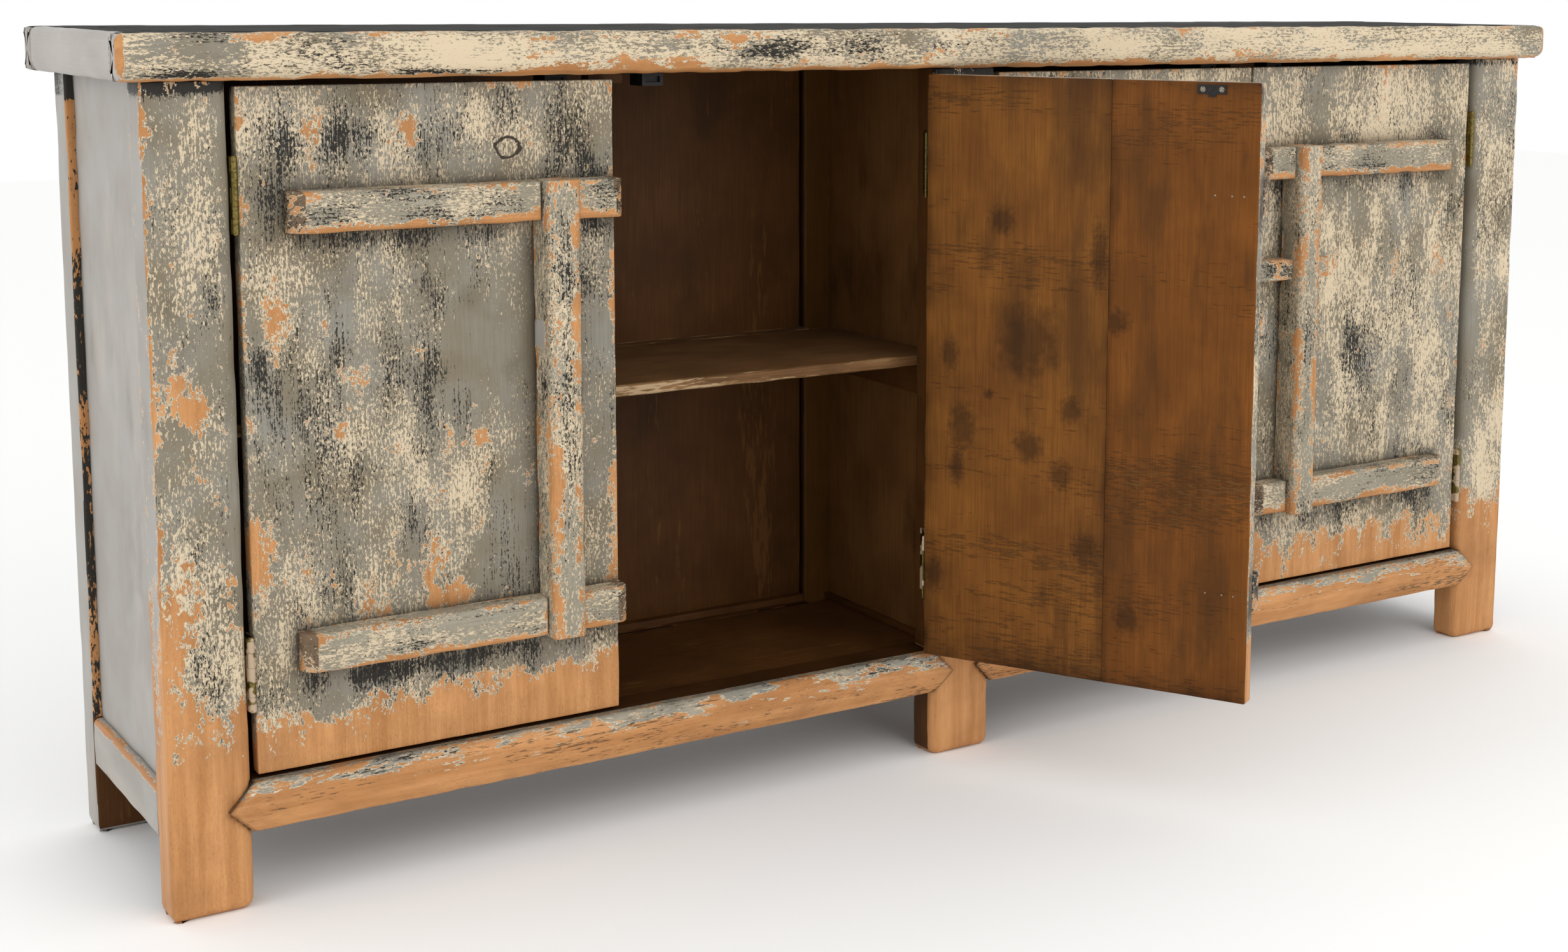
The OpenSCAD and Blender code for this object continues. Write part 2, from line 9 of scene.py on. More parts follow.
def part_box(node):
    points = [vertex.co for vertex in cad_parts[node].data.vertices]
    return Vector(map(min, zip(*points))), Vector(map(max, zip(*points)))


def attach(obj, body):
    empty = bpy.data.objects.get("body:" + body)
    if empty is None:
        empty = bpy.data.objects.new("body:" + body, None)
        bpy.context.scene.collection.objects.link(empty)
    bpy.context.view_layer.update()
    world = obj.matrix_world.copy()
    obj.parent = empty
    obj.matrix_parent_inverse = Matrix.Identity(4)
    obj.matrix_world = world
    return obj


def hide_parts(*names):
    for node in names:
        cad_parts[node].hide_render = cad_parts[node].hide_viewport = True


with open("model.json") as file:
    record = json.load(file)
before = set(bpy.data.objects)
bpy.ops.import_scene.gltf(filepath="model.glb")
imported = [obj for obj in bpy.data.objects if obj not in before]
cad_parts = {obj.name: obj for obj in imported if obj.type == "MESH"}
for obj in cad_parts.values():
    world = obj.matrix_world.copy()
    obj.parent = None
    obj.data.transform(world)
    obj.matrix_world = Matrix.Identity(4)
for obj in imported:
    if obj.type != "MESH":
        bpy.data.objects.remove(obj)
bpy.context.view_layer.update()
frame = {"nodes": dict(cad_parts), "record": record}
print("frame loaded")

record = frame["record"]
slotOf = {row["node"]: row["material_slot"] for row in record["subparts"]}
bodyOf = {node: body for body, nodes in record["behaviour"]["bodies"].items() for node in nodes}
joints = {joint["name"]: joint for joint in record["behaviour"]["joints"]}


# Places taken from the frame

def solidBoxes(node):
    # lowest and highest corners of each separate solid: every vertex takes the lowest label it touches
    data = frame["nodes"][node].data
    spots = np.zeros(len(data.vertices) * 3)
    data.vertices.foreach_get("co", spots)
    spots = spots.reshape(-1, 3)
    merged = np.unique(np.round(spots * 1e5).astype(int), axis=0, return_inverse=True)[1].ravel()
    edges = np.zeros(len(data.edges) * 2, dtype=np.int32)
    data.edges.foreach_get("vertices", edges)
    edges = merged[edges.reshape(-1, 2)]
    label, settled = np.arange(merged.max() + 1), False
    while not settled:
        least = np.minimum(label[edges[:, 0]], label[edges[:, 1]])
        lower = label.copy()
        np.minimum.at(lower, edges[:, 0], least)
        np.minimum.at(lower, edges[:, 1], least)
        lower = lower[lower]
        settled = (lower == label).all()
        label = lower
    groups = label[merged]
    boxes = [(spots[groups == g].min(axis=0), spots[groups == g].max(axis=0)) for g in np.unique(groups)]
    return sorted(boxes, key=lambda pair: tuple(np.round(pair[0][[2, 0, 1]], 4)))


def boxOf(node):
    return [np.array(corner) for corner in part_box(node)]


def pivot(number):
    return np.array(joints[f"door_{number}_hinge"]["pos_m"])


def shutBoxes(node):
    # door 2 stands open, so its pieces are read from door 4, which is the same door shut
    if bodyOf[node] not in ("door_2", "bolt_left"):
        return solidBoxes(node)
    twin = node.replace("door_2", "door_4").replace("bolt_left", "bolt_right")
    shift = pivot(2) - pivot(4)
    return [(low + shift, high + shift) for low, high in solidBoxes(twin)]


restAngle = -math.radians(joints["door_2_hinge"]["range_deg"][0])


def toRest(points, node):
    # turns a shut door 2 about its hinge to where it stands at rest
    if bodyOf[node] not in ("door_2", "bolt_left"):
        return points
    c, s = math.cos(restAngle), math.sin(restAngle)
    turn = np.array([[c, -s, 0], [s, c, 0], [0, 0, 1]])
    return (points - pivot(2)) @ turn.T + pivot(2)


# Wooden shapes

crossAxes = {0: (1, 2), 1: (2, 0), 2: (0, 1)}  # the two axes across the grain, right-handed
rippleShape = {"waves": 12, "pitch": 2.2, "gain": 2.4}
boardShape = {
    "cornerPoints": 6, "endRings": 4, "capRings": (0.15, 0.4, 0.7),
    "edgeWidth": 0.007, "rubSize": 0.035, "rubShare": 0.3,
    "unevenDepth": 0.00012, "unevenSize": 0.05, "unevenMost": 1.2,
    "jointWear": 0.015, "jointSide": 0.001,
}
boardStep = np.array([0.37, 0.61, 0.83])  # metres between the grain of one seed and that of the next
# in the dictionaries of marks, three numbers are the start, end and strength of a ramp, and two the width
# and strength of a trail


def ramp(values, start, end, most=1):
    # 0 before the start, most past the end
    return most * np.clip((values - start) / (end - start), 0, 1)


def bell(values, width):
    return np.exp(-(values / width) ** 2)


def trail(values, width, most):
    # most on a line, fading away from it
    return most * np.exp(-values / width)


def ripple(points, size, seed):
    # smooth noise from about -1 to 1: the mean of sine waves in random directions
    rng = np.random.default_rng(seed)
    waves = rng.normal(size=(rippleShape["waves"], 3)) * (rippleShape["pitch"] / size)
    phases = rng.uniform(0, 6.28, rippleShape["waves"])
    return np.sin(points @ waves.T + phases).mean(axis=1) * rippleShape["gain"]


def roundedOutline(width, height, radii, step):
    # a rectangle with an elliptical quarter at each corner, walked anticlockwise
    points, normals, away = [], [], []
    corners = [(0, 0, 1, 1), (width, 0, -1, 1), (width, height, -1, -1), (0, height, 1, -1)]
    arcs = []
    for index, (x, y, sx, sy) in enumerate(corners):
        rx, ry = radii[index]
        angle = math.pi + index * math.pi / 2 + np.linspace(0, math.pi / 2, boardShape["cornerPoints"])
        way = np.stack([np.cos(angle), np.sin(angle)], 1)
        arcs.append((np.array([x + sx * rx, y + sy * ry]) + way * [rx, ry], way))
    for index, (arc, way) in enumerate(arcs):
        start, end = arc[-1], arcs[(index + 1) % 4][0][0]
        length = np.linalg.norm(end - start)
        count = max(2, int(round(length / step)))
        side = np.linspace(0, 1, count + 1)[1:-1, None]
        points += [arc, start + (end - start) * side]
        normals += [way, np.repeat(way[-1:], count - 1, 0)]
        away += [np.zeros(len(arc)), np.minimum(side[:, 0], 1 - side[:, 0]) * length]
    return np.concatenate(points), np.concatenate(normals), np.concatenate(away)


def board(low, high, grain, radii=0.0015, ends=0.001, step=0.006, seed=1, worn=0.0008, reshape=None,
          joint=None):
    # an outline carried along the grain, rounded over at both ends and closed by shrinking rings;
    # joint is the x of a glued joint, where nothing has worn
    a, b = crossAxes[grain]
    size = np.subtract(high, low)
    if np.isscalar(radii):
        radii = [radii] * 4
    radii = [(radius, radius) if np.isscalar(radius) else radius for radius in radii]
    if np.isscalar(ends):
        ends = (ends, ends)
    outline, normal, away = roundedOutline(size[a], size[b], radii, step)
    middle = np.array([size[a], size[b]]) / 2
    quarter = np.linspace(0, math.pi / 2, boardShape["endRings"])
    length = size[grain]
    count = max(2, int(length / step))
    lowAt, highAt = ends[0] * (1 - np.cos(quarter)), length - ends[1] * (1 - np.cos(quarter[::-1]))
    shrink = np.array(boardShape["capRings"])
    along = np.concatenate([shrink * 0, lowAt, np.linspace(ends[0], length - ends[1], count)[1:-1],
                            highAt, shrink * 0 + length])
    inset = np.concatenate([shrink * 0 + ends[0], ends[0] * (1 - np.sin(quarter)), np.zeros(count - 2),
                            ends[1] * (1 - np.sin(quarter[::-1])), shrink * 0 + ends[1]])
    factor = np.concatenate([shrink, np.ones(len(along) - 2 * len(shrink)), shrink[::-1]])
    rings, n = len(along), len(outline)
    flat = outline[None] - normal[None] * inset[:, None, None]
    flat = middle + (flat - middle) * factor[:, None, None]
    points = np.zeros((rings, n, 3))
    points[..., a], points[..., b] = flat[..., 0], flat[..., 1]
    points[..., grain] = along[:, None]
    out = np.zeros((rings, n, 3))
    out[..., a], out[..., b] = normal[None, :, 0] * factor[:, None], normal[None, :, 1] * factor[:, None]
    endAway = np.minimum(along, length - along)[:, None] + np.zeros((1, n))
    edge = bell(np.minimum(away[None], endAway), boardShape["edgeWidth"])
    points, out, edge = points.reshape(-1, 3), out.reshape(-1, 3), edge.reshape(-1)
    tips = np.zeros((2, 3))
    tips[:, a], tips[:, b], tips[1, grain] = middle[0], middle[1], length
    points = np.vstack([points, tips]) + low
    out, edge = np.vstack([out, tips * 0]), np.append(edge, [0, 0])
    most = boardShape["unevenMost"]
    uneven = most + np.clip(ripple(points, boardShape["unevenSize"], seed + 9), -most, most)
    if joint is not None:
        apart = np.abs(points[:, 0] - joint)
        edge = edge * (apart > boardShape["jointWear"])
        out[:, 0] *= apart > boardShape["jointSide"]
    rub = np.clip(ripple(points, boardShape["rubSize"], seed) + boardShape["rubShare"], 0, 1) * edge * worn
    moved = points - out * (rub + boardShape["unevenDepth"] * uneven)[:, None]
    if reshape:
        moved = reshape(moved)
    ring, spot = np.meshgrid(np.arange(rings - 1), np.arange(n), indexing="ij")
    here, ahead = ring * n + spot, ring * n + (spot + 1) % n
    quads = np.stack([here, ahead, ahead + n, here + n], -1).reshape(-1, 4)
    spot = np.arange(n)
    last = (rings - 1) * n
    lowFan = np.stack([spot * 0 + rings * n, (spot + 1) % n, spot], 1)
    highFan = np.stack([spot * 0 + rings * n + 1, last + spot, last + (spot + 1) % n], 1)
    place = np.stack([points[:, a], points[:, b], points[:, grain]], 1) + boardStep * seed
    return {"points": moved, "quads": quads, "fans": np.vstack([lowFan, highFan]), "edge": edge,
            "place": place}


def hills(p, q, patches):
    # sum of smooth hills: channel 0 bares the pine, 1 brings cream, 2 brings black; sizes in millimetres
    total = np.zeros((len(p), 3))
    for channel, pAt, qAt, pSize, qSize, strength in patches:
        total[:, channel] += strength * bell(p - pAt, pSize) * bell(q - qAt, qSize)
    return total


def addPiece(node, shapes, finishes, wear=None, soilAndShade=None, inside=None):
    # joins shapes into one piece that stands for a CAD node; inside() picks the finish of each face
    points, faces, centres, edges, places, start = [], [], [], [], [], 0
    for shape in shapes:
        points.append(shape["points"])
        for corners in (shape["quads"], shape["fans"]):
            centres.append(shape["points"][corners].mean(axis=1))
            faces += (corners + start).tolist()
        edges.append(shape["edge"])
        places.append(shape["place"])
        start += len(shape["points"])
    points, edges, places = np.vstack(points), np.concatenate(edges), np.vstack(places)
    mesh = bpy.data.meshes.new(node)
    mesh.from_pydata(toRest(points, node).tolist(), [], faces)
    marks = np.zeros((len(points), 4))
    if wear:
        marks[:, :3] = wear(points)
    marks[:, 3] = edges
    mesh.attributes.new("wear", "FLOAT_COLOR", "POINT").data.foreach_set("color", marks.ravel())
    mesh.attributes.new("place", "FLOAT_VECTOR", "POINT").data.foreach_set("vector", places.ravel())
    # these darkening marks carry dirt, and also painted shade in corners and recesses
    darkening = soilAndShade(points) if soilAndShade else np.zeros(len(points))
    mesh.attributes.new("soilAndShade", "FLOAT", "POINT").data.foreach_set("value", darkening)
    for finish in finishes:
        mesh.materials.append(finish)
    if inside:
        mesh.polygons.foreach_set("material_index", inside(np.vstack(centres)).astype(np.int32))
    mesh.polygons.foreach_set("use_smooth", [True] * len(faces))
    mesh.update()
    piece = bpy.data.objects.new(node + "_wood", mesh)
    bpy.context.scene.collection.objects.link(piece)
    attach(piece, bodyOf[node])
    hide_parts(node)
    return piece


# Finishes

def linearColour(code):
    values = [int(code[i:i + 2], 16) / 255 for i in (1, 3, 5)]
    return [v / 12.92 if v <= 0.04045 else ((v + 0.055) / 1.055) ** 2.4 for v in values] + [1.0]


def addNode(tree, kind, inputs=None, **settings):
    node = tree.nodes.new("ShaderNode" + kind)
    for name, value in settings.items():
        setattr(node, name, value)
    for socket, value in (inputs or {}).items():
        if isinstance(value, bpy.types.NodeSocket):
            tree.links.new(value, node.inputs[socket])
        else:
            node.inputs[socket].default_value = value
    return node


def newFinish(name):
    material = bpy.data.materials.new(name)
    material.use_nodes = True
    return material, material.node_tree, material.node_tree.nodes["Principled BSDF"]


# how bare wood and paint vary: stretch along the grain, sizes in millimetres, and ranges of each noise
woodFigure = {
    "grainStretch": 0.025, "bandStretch": 0.06, "bandMm": 16, "broadMm": 90,
    "grain": (0.35, 0.68), "bands": (0.36, 0.64), "darkGrain": (0.4, 0.75, 0.35), "shade": (0.46, 0.72, 0.5),
    "coat": (0.35, 0.65), "grainHeight": 0.5, "glossRange": 0.1,
    "knotUneven": 0.8, "knotDetail": 5.0, "ringSoft": 0.03,
}


def layeredWood(name, look):
    # wood with coats that have worn through: each layer is a noise field cut at a level
    material, tree, shader = newFinish(name)
    spot = addNode(tree, "Attribute", attribute_name="place").outputs["Vector"]
    shift = look.get("shift", (0, 0, 0))
    place = addNode(tree, "VectorMath", {0: spot, 1: shift}, operation="ADD").outputs[0]
    wear = addNode(tree, "Attribute", attribute_name="wear")
    soilAndShade = addNode(tree, "Attribute", attribute_name="soilAndShade").outputs["Fac"]
    bias = addNode(tree, "SeparateColor", {"Color": wear.outputs["Color"]}).outputs

    def mixed(share, first, second, **settings):
        first, second = [linearColour(c) if isinstance(c, str) else c for c in (first, second)]
        return addNode(tree, "Mix", {"Factor": share, "A": first, "B": second}, data_type="RGBA",
                       **settings).outputs["Result"]

    def spread(value, low, high, most=1.0):
        return addNode(tree, "MapRange", {"Value": value, "From Min": low, "From Max": high,
                                          "To Max": most}).outputs[0]

    def noise(vector, mm, detail=3.0, rough=0.6):
        return addNode(tree, "TexNoise", {"Vector": vector, "Scale": 1000 / mm, "Detail": detail,
                                          "Roughness": rough}).outputs["Fac"]

    def scaled(vector, factors):
        return addNode(tree, "VectorMath", {0: vector, 1: factors}, operation="MULTIPLY").outputs[0]

    def combined(first, second, third=0.0, operation="MULTIPLY_ADD", **settings):
        # first times second plus third, unless another operation is named
        inputs = {0: first, 1: second, 2: third}
        return addNode(tree, "Math", inputs, operation=operation, **settings).outputs[0]

    grain = noise(scaled(place, (1, 1, woodFigure["grainStretch"])), look["grainMm"])
    bands = noise(scaled(place, (1, 1, woodFigure["bandStretch"])), woodFigure["bandMm"])
    broad = noise(place, woodFigure["broadMm"])
    wood = mixed(spread(bands, *woodFigure["bands"]), look["wood"][0], look["wood"][1])
    wood = mixed(spread(grain, *woodFigure["darkGrain"]), wood, look["wood"][1])
    wood = mixed(spread(broad, *woodFigure["shade"]), wood, look["woodShade"])
    colour = mixed(spread(broad, *woodFigure["coat"]), look["base"][0], look["base"][1])
    shown = combined(spread(grain, *woodFigure["grain"]), look["grainShows"])
    colour = mixed(shown, colour, look["grainColour"])
    height = combined(grain, woodFigure["grainHeight"])
    for layer in look["layers"]:
        stretched = scaled(place, layer["stretch"])
        fine = noise(stretched, layer["mm"], layer["detail"], layer["rough"])
        apart = addNode(tree, "VectorMath", {0: stretched, 1: (3.1, 1.7, 2.3)}, operation="ADD").outputs[0]
        wide = noise(apart, layer["wideMm"])
        gain, follow = layer["gain"], layer.get("follow", 0.0)
        field = combined(grain, follow, combined(wide, gain, fine))
        if "bias" in layer:
            field = combined(field, bias[layer["bias"]], operation="ADD")
        if "edge" in layer:
            field = combined(wear.outputs["Alpha"], layer["edge"], field)
        level = 0.5 + (gain + follow) * 0.5 + layer["level"]
        soft = layer["soft"]
        if "rim" in layer:
            rimAt = level - layer["rim"]
            colour = mixed(spread(field, rimAt, rimAt + soft), colour, layer["rimColour"])
        mask = spread(field, level, level + soft, layer.get("strength", 1.0))
        colour = mixed(mask, colour, wood if layer["colour"] == "wood" else layer["colour"])
        height = combined(mask, layer.get("height", 0.0), height)
    for knot in look.get("knots", []):
        # a dark ring or spot around a point on the board, its outline made uneven by noise
        away = addNode(tree, "VectorMath", {0: spot, 1: knot["at"]}, operation="SUBTRACT").outputs[0]
        away = scaled(away, (1000 / knot["mm"], 0, 1000 / knot["mm"] * knot["flat"]))
        away = addNode(tree, "VectorMath", {0: away}, operation="LENGTH").outputs["Value"]
        uneven = noise(spot, knot["mm"] * woodFigure["knotUneven"], woodFigure["knotDetail"])
        away = combined(uneven, knot["ragged"], away)
        rimAt = 1 + knot["ragged"] * 0.5
        outer = spread(away, rimAt + knot["soft"], rimAt, knot["strength"])
        if knot.get("ring"):
            coreAt = rimAt - knot["ring"]
            core = spread(away, coreAt, coreAt - woodFigure["ringSoft"])
            outer = combined(outer, core, operation="SUBTRACT", use_clamp=True)
        colour = mixed(outer, colour, knot["colour"])
    # darken with the soil colour where marked: dirt, and painted shade in corners and recesses
    colour = mixed(soilAndShade, colour, look["soilAndShade"], blend_type="MULTIPLY")
    bump = addNode(tree, "Bump", {"Height": height, "Strength": look["bump"], "Distance": 0.001})
    tree.links.new(colour, shader.inputs["Base Color"])
    tree.links.new(bump.outputs["Normal"], shader.inputs["Normal"])
    duller = woodFigure["glossRange"]
    gloss = addNode(tree, "MapRange", {"Value": grain, "To Min": look["roughness"] - duller,
                                       "To Max": look["roughness"] + duller}).outputs[0]
    tree.links.new(gloss, shader.inputs["Roughness"])
    shader.inputs["IOR"].default_value = 1.5
    shader.inputs["Specular IOR Level"].default_value = look["specular"]
    return material


pineShades = ("#cd9560", "#b27b48")
cream, charcoal = "#cfbd9f", "#24211c"


# Layers: a colour over everything where its noise field passes the level; sizes in millimetres

def creamSpecks(level, mm=2.4, gain=0.65):
    return {"colour": cream, "mm": mm, "wideMm": 60, "gain": gain, "follow": 0.4, "level": level, "bias": 1,
            "soft": 0.03, "stretch": (1, 1, 0.45), "detail": 4.0, "rough": 0.75, "height": 0.4}


def blackDashes(level, mm=2.2, gain=0.72, stretch=(1, 1, 0.42)):
    return {"colour": charcoal, "mm": mm, "wideMm": 50, "gain": gain, "follow": 0.5, "level": level,
            "bias": 2, "soft": 0.03, "stretch": stretch, "detail": 4.0, "rough": 0.75, "height": -0.3}


def barePine(level, mm=30.0, edge=0.10, rim=0.03):
    return {"colour": "wood", "mm": mm, "wideMm": 3.5, "gain": 0.5, "level": level, "bias": 0, "edge": edge,
            "rim": rim, "rimColour": "#d3c5ab", "soft": 0.012, "stretch": (1, 1, 0.6), "detail": 9.0,
            "rough": 0.68, "height": -1.0}


def shadow(colour, level, mm=45, wideMm=150, strength=0.5, stretch=(1, 1, 0.45), gain=1.0):
    return {"colour": colour, "mm": mm, "wideMm": wideMm, "gain": gain, "level": level, "soft": 0.22,
            "stretch": stretch, "strength": strength, "detail": 4.0, "rough": 0.6}


def streaks(colour, level, mm=2.4, wideMm=60, strength=0.8, stretch=(1, 1, 0.12), soft=0.06, gain=1.1,
            **more):
    return dict({"colour": colour, "mm": mm, "wideMm": wideMm, "gain": gain, "level": level, "soft": soft,
                 "stretch": stretch, "strength": strength, "detail": 3.0, "rough": 0.6}, **more)


# Milk paint on pine, brushed on in coats and sanded back: chalky, low gloss, cream at every broken edge
paintLook = {
    "wood": pineShades, "woodShade": "#8f6038", "base": ("#7b705b", "#8b877c"), "grainMm": 1.3,
    "roughness": 0.6, "specular": 0.3, "grainShows": 0.35, "grainColour": "#665e50", "bump": 0.6,
    "soilAndShade": "#4a4236",
    "layers": [shadow("#5d5443", 0.07, wideMm=90, stretch=(1, 1, 0.8), strength=0.4), creamSpecks(0.06),
               blackDashes(0.11), barePine(0.17)],
}
doorPaint = layeredWood("sanded milk paint on door boards", paintLook)
postPaint = layeredWood("sanded milk paint on posts", dict(paintLook, layers=[
    shadow("#5d5443", 0.05, wideMm=90), creamSpecks(0.07), blackDashes(0.16),
    barePine(0.17, mm=24.0, edge=0.05)]))
battenPaint = layeredWood("sanded milk paint on battens", dict(
    paintLook, base=("#8a8270", "#9a9382"), layers=[
        creamSpecks(0.04), blackDashes(0.10, stretch=(1, 1, 0.6)), barePine(0.18, mm=34.0, edge=0.18)]))
topPaint = layeredWood("sanded milk paint on top edge", dict(paintLook, layers=[
    creamSpecks(-0.05), blackDashes(0.15, stretch=(1, 1, 0.4)),
    barePine(0.20, mm=26.0, edge=0.05)]))
railPaint = layeredWood("pine with rubbed remains of paint", dict(
    paintLook, base=("#aca08a", "#88867c"), layers=[
        creamSpecks(0.12), blackDashes(0.13, stretch=(1, 1, 0.3)),
        dict(barePine(-0.10, mm=16.0, edge=0.02), stretch=(1, 1, 0.22)),
        streaks("#54402a", 0.17, mm=1.8, wideMm=40, bias=2)]))
edgePine = layeredWood("bare pine edge with black remains", dict(
    paintLook, layers=[
        barePine(-0.30, mm=20.0),
        streaks("#28251f", 0.0, mm=3.0, wideMm=50, strength=1.0, bias=2, stretch=(1, 1, 0.3), soft=0.03)]))
endGrain = layeredWood("pitted end grain of battens", dict(
    paintLook, base=("#735d47", "#5f5140"), grainShows=0.0, layers=[
        blackDashes(0.03, mm=2.4, stretch=(1, 1, 1)), creamSpecks(0.14),
        barePine(0.20, mm=16.0, edge=0.16)]))

# Flat paint on smooth pine boards: even, faintly streaked along the grain
sideLook = {
    "wood": pineShades, "woodShade": "#8f6038", "base": ("#98928a", "#a29f9b"), "grainMm": 2.0,
    "roughness": 0.5, "specular": 0.35, "grainShows": 0.2, "grainColour": "#a69f95", "bump": 0.25,
    "soilAndShade": "#453f37",
    "layers": [shadow("#b3aba1", 0.04, mm=60, wideMm=260, strength=0.6, stretch=(1, 1, 0.35)),
               shadow("#7b756c", 0.08, mm=40, wideMm=170, strength=0.45, stretch=(1, 1, 0.5)),
               blackDashes(0.36, mm=1.8, stretch=(1, 1, 1)),
               barePine(0.36, mm=20.0, edge=0.12, rim=0.03)]}
sidePaint = layeredWood("smooth pale paint on side boards", sideLook)
endPaint = layeredWood("smooth pale paint on end boards", dict(
    sideLook, base=("#a19b94", "#aaa5a0"), layers=[
        shadow("#b3ada6", 0.05, mm=50, wideMm=160, strength=0.6),
        blackDashes(0.30, mm=1.6, stretch=(1, 1, 1))]))

# Charcoal stain wiped over old boards, with the grain rubbed through
topStain = layeredWood("charcoal stain on top boards", {
    "wood": ("#8a7a62", "#5e5442"), "woodShade": "#4a4236", "base": ("#1e1f1c", "#292825"), "grainMm": 1.6,
    "roughness": 0.7, "specular": 0.08, "grainShows": 0.5, "grainColour": "#151513", "bump": 0.35,
    "soilAndShade": "#2a2824",
    "layers": [
        streaks("#4b473d", 0.18, mm=3.0, wideMm=80, strength=0.8),
        streaks("#8d8777", 0.36, mm=2.2, wideMm=70, edge=0.03, strength=0.6)]})

# Walnut stain under a thin wax on rough-sawn pine: warm, cloudy, with darker marks
stainLook = {
    "wood": pineShades, "woodShade": "#8f6038", "base": ("#5a381a", "#492c13"), "grainMm": 1.8,
    "roughness": 0.5, "specular": 0.12, "grainShows": 0.45, "grainColour": "#38230f", "bump": 0.25,
    "soilAndShade": "#1b120a",
    "layers": [shadow("#35230f", 0.06, strength=0.6), streaks("#6d4822", 0.20, mm=5, strength=0.5)]}
stain = layeredWood("walnut stain on inner boards", stainLook)
wallStain = layeredWood("thin walnut stain on the middle wall", dict(
    stainLook, base=("#75502c", "#644122"), grainColour="#4d3016"))
paleStain = layeredWood("thin walnut stain on inner posts", dict(
    stainLook, base=("#5c3a16", "#4b300f"), grainColour="#3b260c",
    layers=[shadow("#402810", 0.08, strength=0.6)]))
# pale front edges: partly rubbed stain, partly a painted highlight along the arris
shelfStain = layeredWood("walnut stain with rubbed edges and painted highlight", dict(
    stainLook, base=("#7a5838", "#66482b"), layers=[
        shadow("#4a3520", 0.06, strength=0.6),
        streaks("#8a6a45", 0.38, mm=6, wideMm=30, edge=0.40, strength=0.6),
        streaks("#bfa684", 0.50, mm=2.5, wideMm=30, edge=0.42, strength=0.6)]))


def sawMarks(colour, level, strength):
    # fine dark and light lines across the grain
    return streaks(colour, level, wideMm=90, strength=strength, stretch=(0.1, 1, 1), soft=0.08, gain=1.3)


doorStainLook = dict(
    stainLook, base=("#845421", "#6d431a"), grainColour="#512f12", specular=0.1, bump=0.3, layers=[
        streaks("#865524", 0.12, mm=9, wideMm=70, strength=0.5, stretch=(1, 1, 0.06), soft=0.15),
        shadow("#442b13", 0.05, strength=0.6, gain=1.2, stretch=(1, 1, 0.3)),
        shadow("#33210f", 0.14, mm=20, wideMm=70, strength=0.45, stretch=(1, 1, 0.25)),
        sawMarks("#38220e", 0.13, 0.6), sawMarks("#8f6431", 0.22, 0.25)])
doorStain = layeredWood("walnut stain on door backs", doorStainLook)
secondStainLook = dict(doorStainLook, base=("#7f4c1c", "#6c4016"), shift=(0.7, 0.2, 0.4))
secondStain = layeredWood("walnut stain on second door boards", secondStainLook)


# Posts

frontPosts = {"sideRound": 0.012, "outerRound": 0.003, "foot": 0.010, "head": 0.001}
backPosts = {"round": 0.003}
# how near to a face the middle of a small face must lie to take that face's finish
faceDepth = {
    "wall": 0.001, "outer": 0.0012, "front": 0.002, "cheekFront": 0.011, "rail": 0.018, "door": 0.0022,
}
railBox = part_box("front_rail_left")
railMiddle = (railBox[0][2] + railBox[1][2]) / 2
railHalf = (railBox[1][2] - railBox[0][2]) / 2
railTop = railBox[1][2]


def fromRailMiddle(points):
    # how far in from the points of the rails a height lies, 0 outside the rails
    return np.clip(railHalf - np.abs(points[:, 2] - railMiddle), 0, None)


def innerSide(low, high):
    # x of the inward face of a side piece, measured from the middle, with its depth of finish
    return np.abs([low[0], high[0]]).min() + faceDepth["wall"]


def notched(sides):
    # narrows a post where the 45 degree points of the rails enter it
    def reshape(points):
        bite = fromRailMiddle(points)
        for side, face in sides:
            reach = face - side * bite
            points[:, 0] = np.where(side * (points[:, 0] - reach) > 0, reach, points[:, 0])
        return points
    return reshape


postMarks = {
    "bare": (0.27, 0.10, 0.55), "black": (0.834, 0.846, 0.5),
    "arrisWidth": 0.003, "arrisBare": 0.17, "arrisBlack": 0.10,
    "coatWidth": 0.011, "coatAbove": 0.3, "coat": (0.2, 0.14, 0.08),  # coat: one strength for each channel
}


def postWear(points, low, high, patches):
    # feet rubbed bare, with a long ragged edge above them, and black under the top
    x, z = points[:, 0], points[:, 2]
    total = hills((x - low[0]) * 1000, z * 1000, patches)
    total[:, 0] += ramp(z, *postMarks["bare"])
    total[:, 2] += ramp(z, *postMarks["black"])
    if low[0] * high[0] > 0:
        # the outer arris is bare, the rounded edge beside the door keeps a smooth coat
        outer, inner = (low[0], high[0]) if low[0] < 0 else (high[0], low[0])
        arris = bell(x - outer, postMarks["arrisWidth"])
        total[:, 0] += postMarks["arrisBare"] * arris
        total[:, 2] += postMarks["arrisBlack"] * arris
        smooth = bell(x - inner, postMarks["coatWidth"]) * (z > postMarks["coatAbove"])
        total -= smooth[:, None] * np.array(postMarks["coat"])
    return total


# hills of wear on the posts: millimetres from the left edge and above the floor
postPatches = {
    "front_post_left": [
        (0, 36, 531, 22, 40, 0.22), (0, 24, 587, 12, 25, 0.2), (0, 21, 342, 22, 60, 0.22),
        (0, 10, 260, 26, 60, 0.16), (1, 40, 320, 60, 90, 0.05), (0, 70, 330, 16, 60, 0.10),
        (2, 62, 662, 16, 60, 0.12), (1, 54, 790, 30, 50, 0.08), (2, 62, 420, 18, 60, 0.10),
        (0, 60, 250, 30, 30, -0.16), (1, 55, 260, 30, 40, 0.10)],
    "front_post_centre": [(0, 44, 200, 40, 200, 0.2)],
    "front_post_right": [
        (0, 30, 560, 20, 30, 0.10), (1, 60, 600, 60, 260, 0.08), (1, 50, 280, 60, 110, 0.12),
        (0, 60, 250, 60, 50, -0.16), (2, 43, 850, 60, 30, -0.4)],
}
doorSides = {"front_post_left": [1], "front_post_centre": [-1, 1], "front_post_right": [-1]}
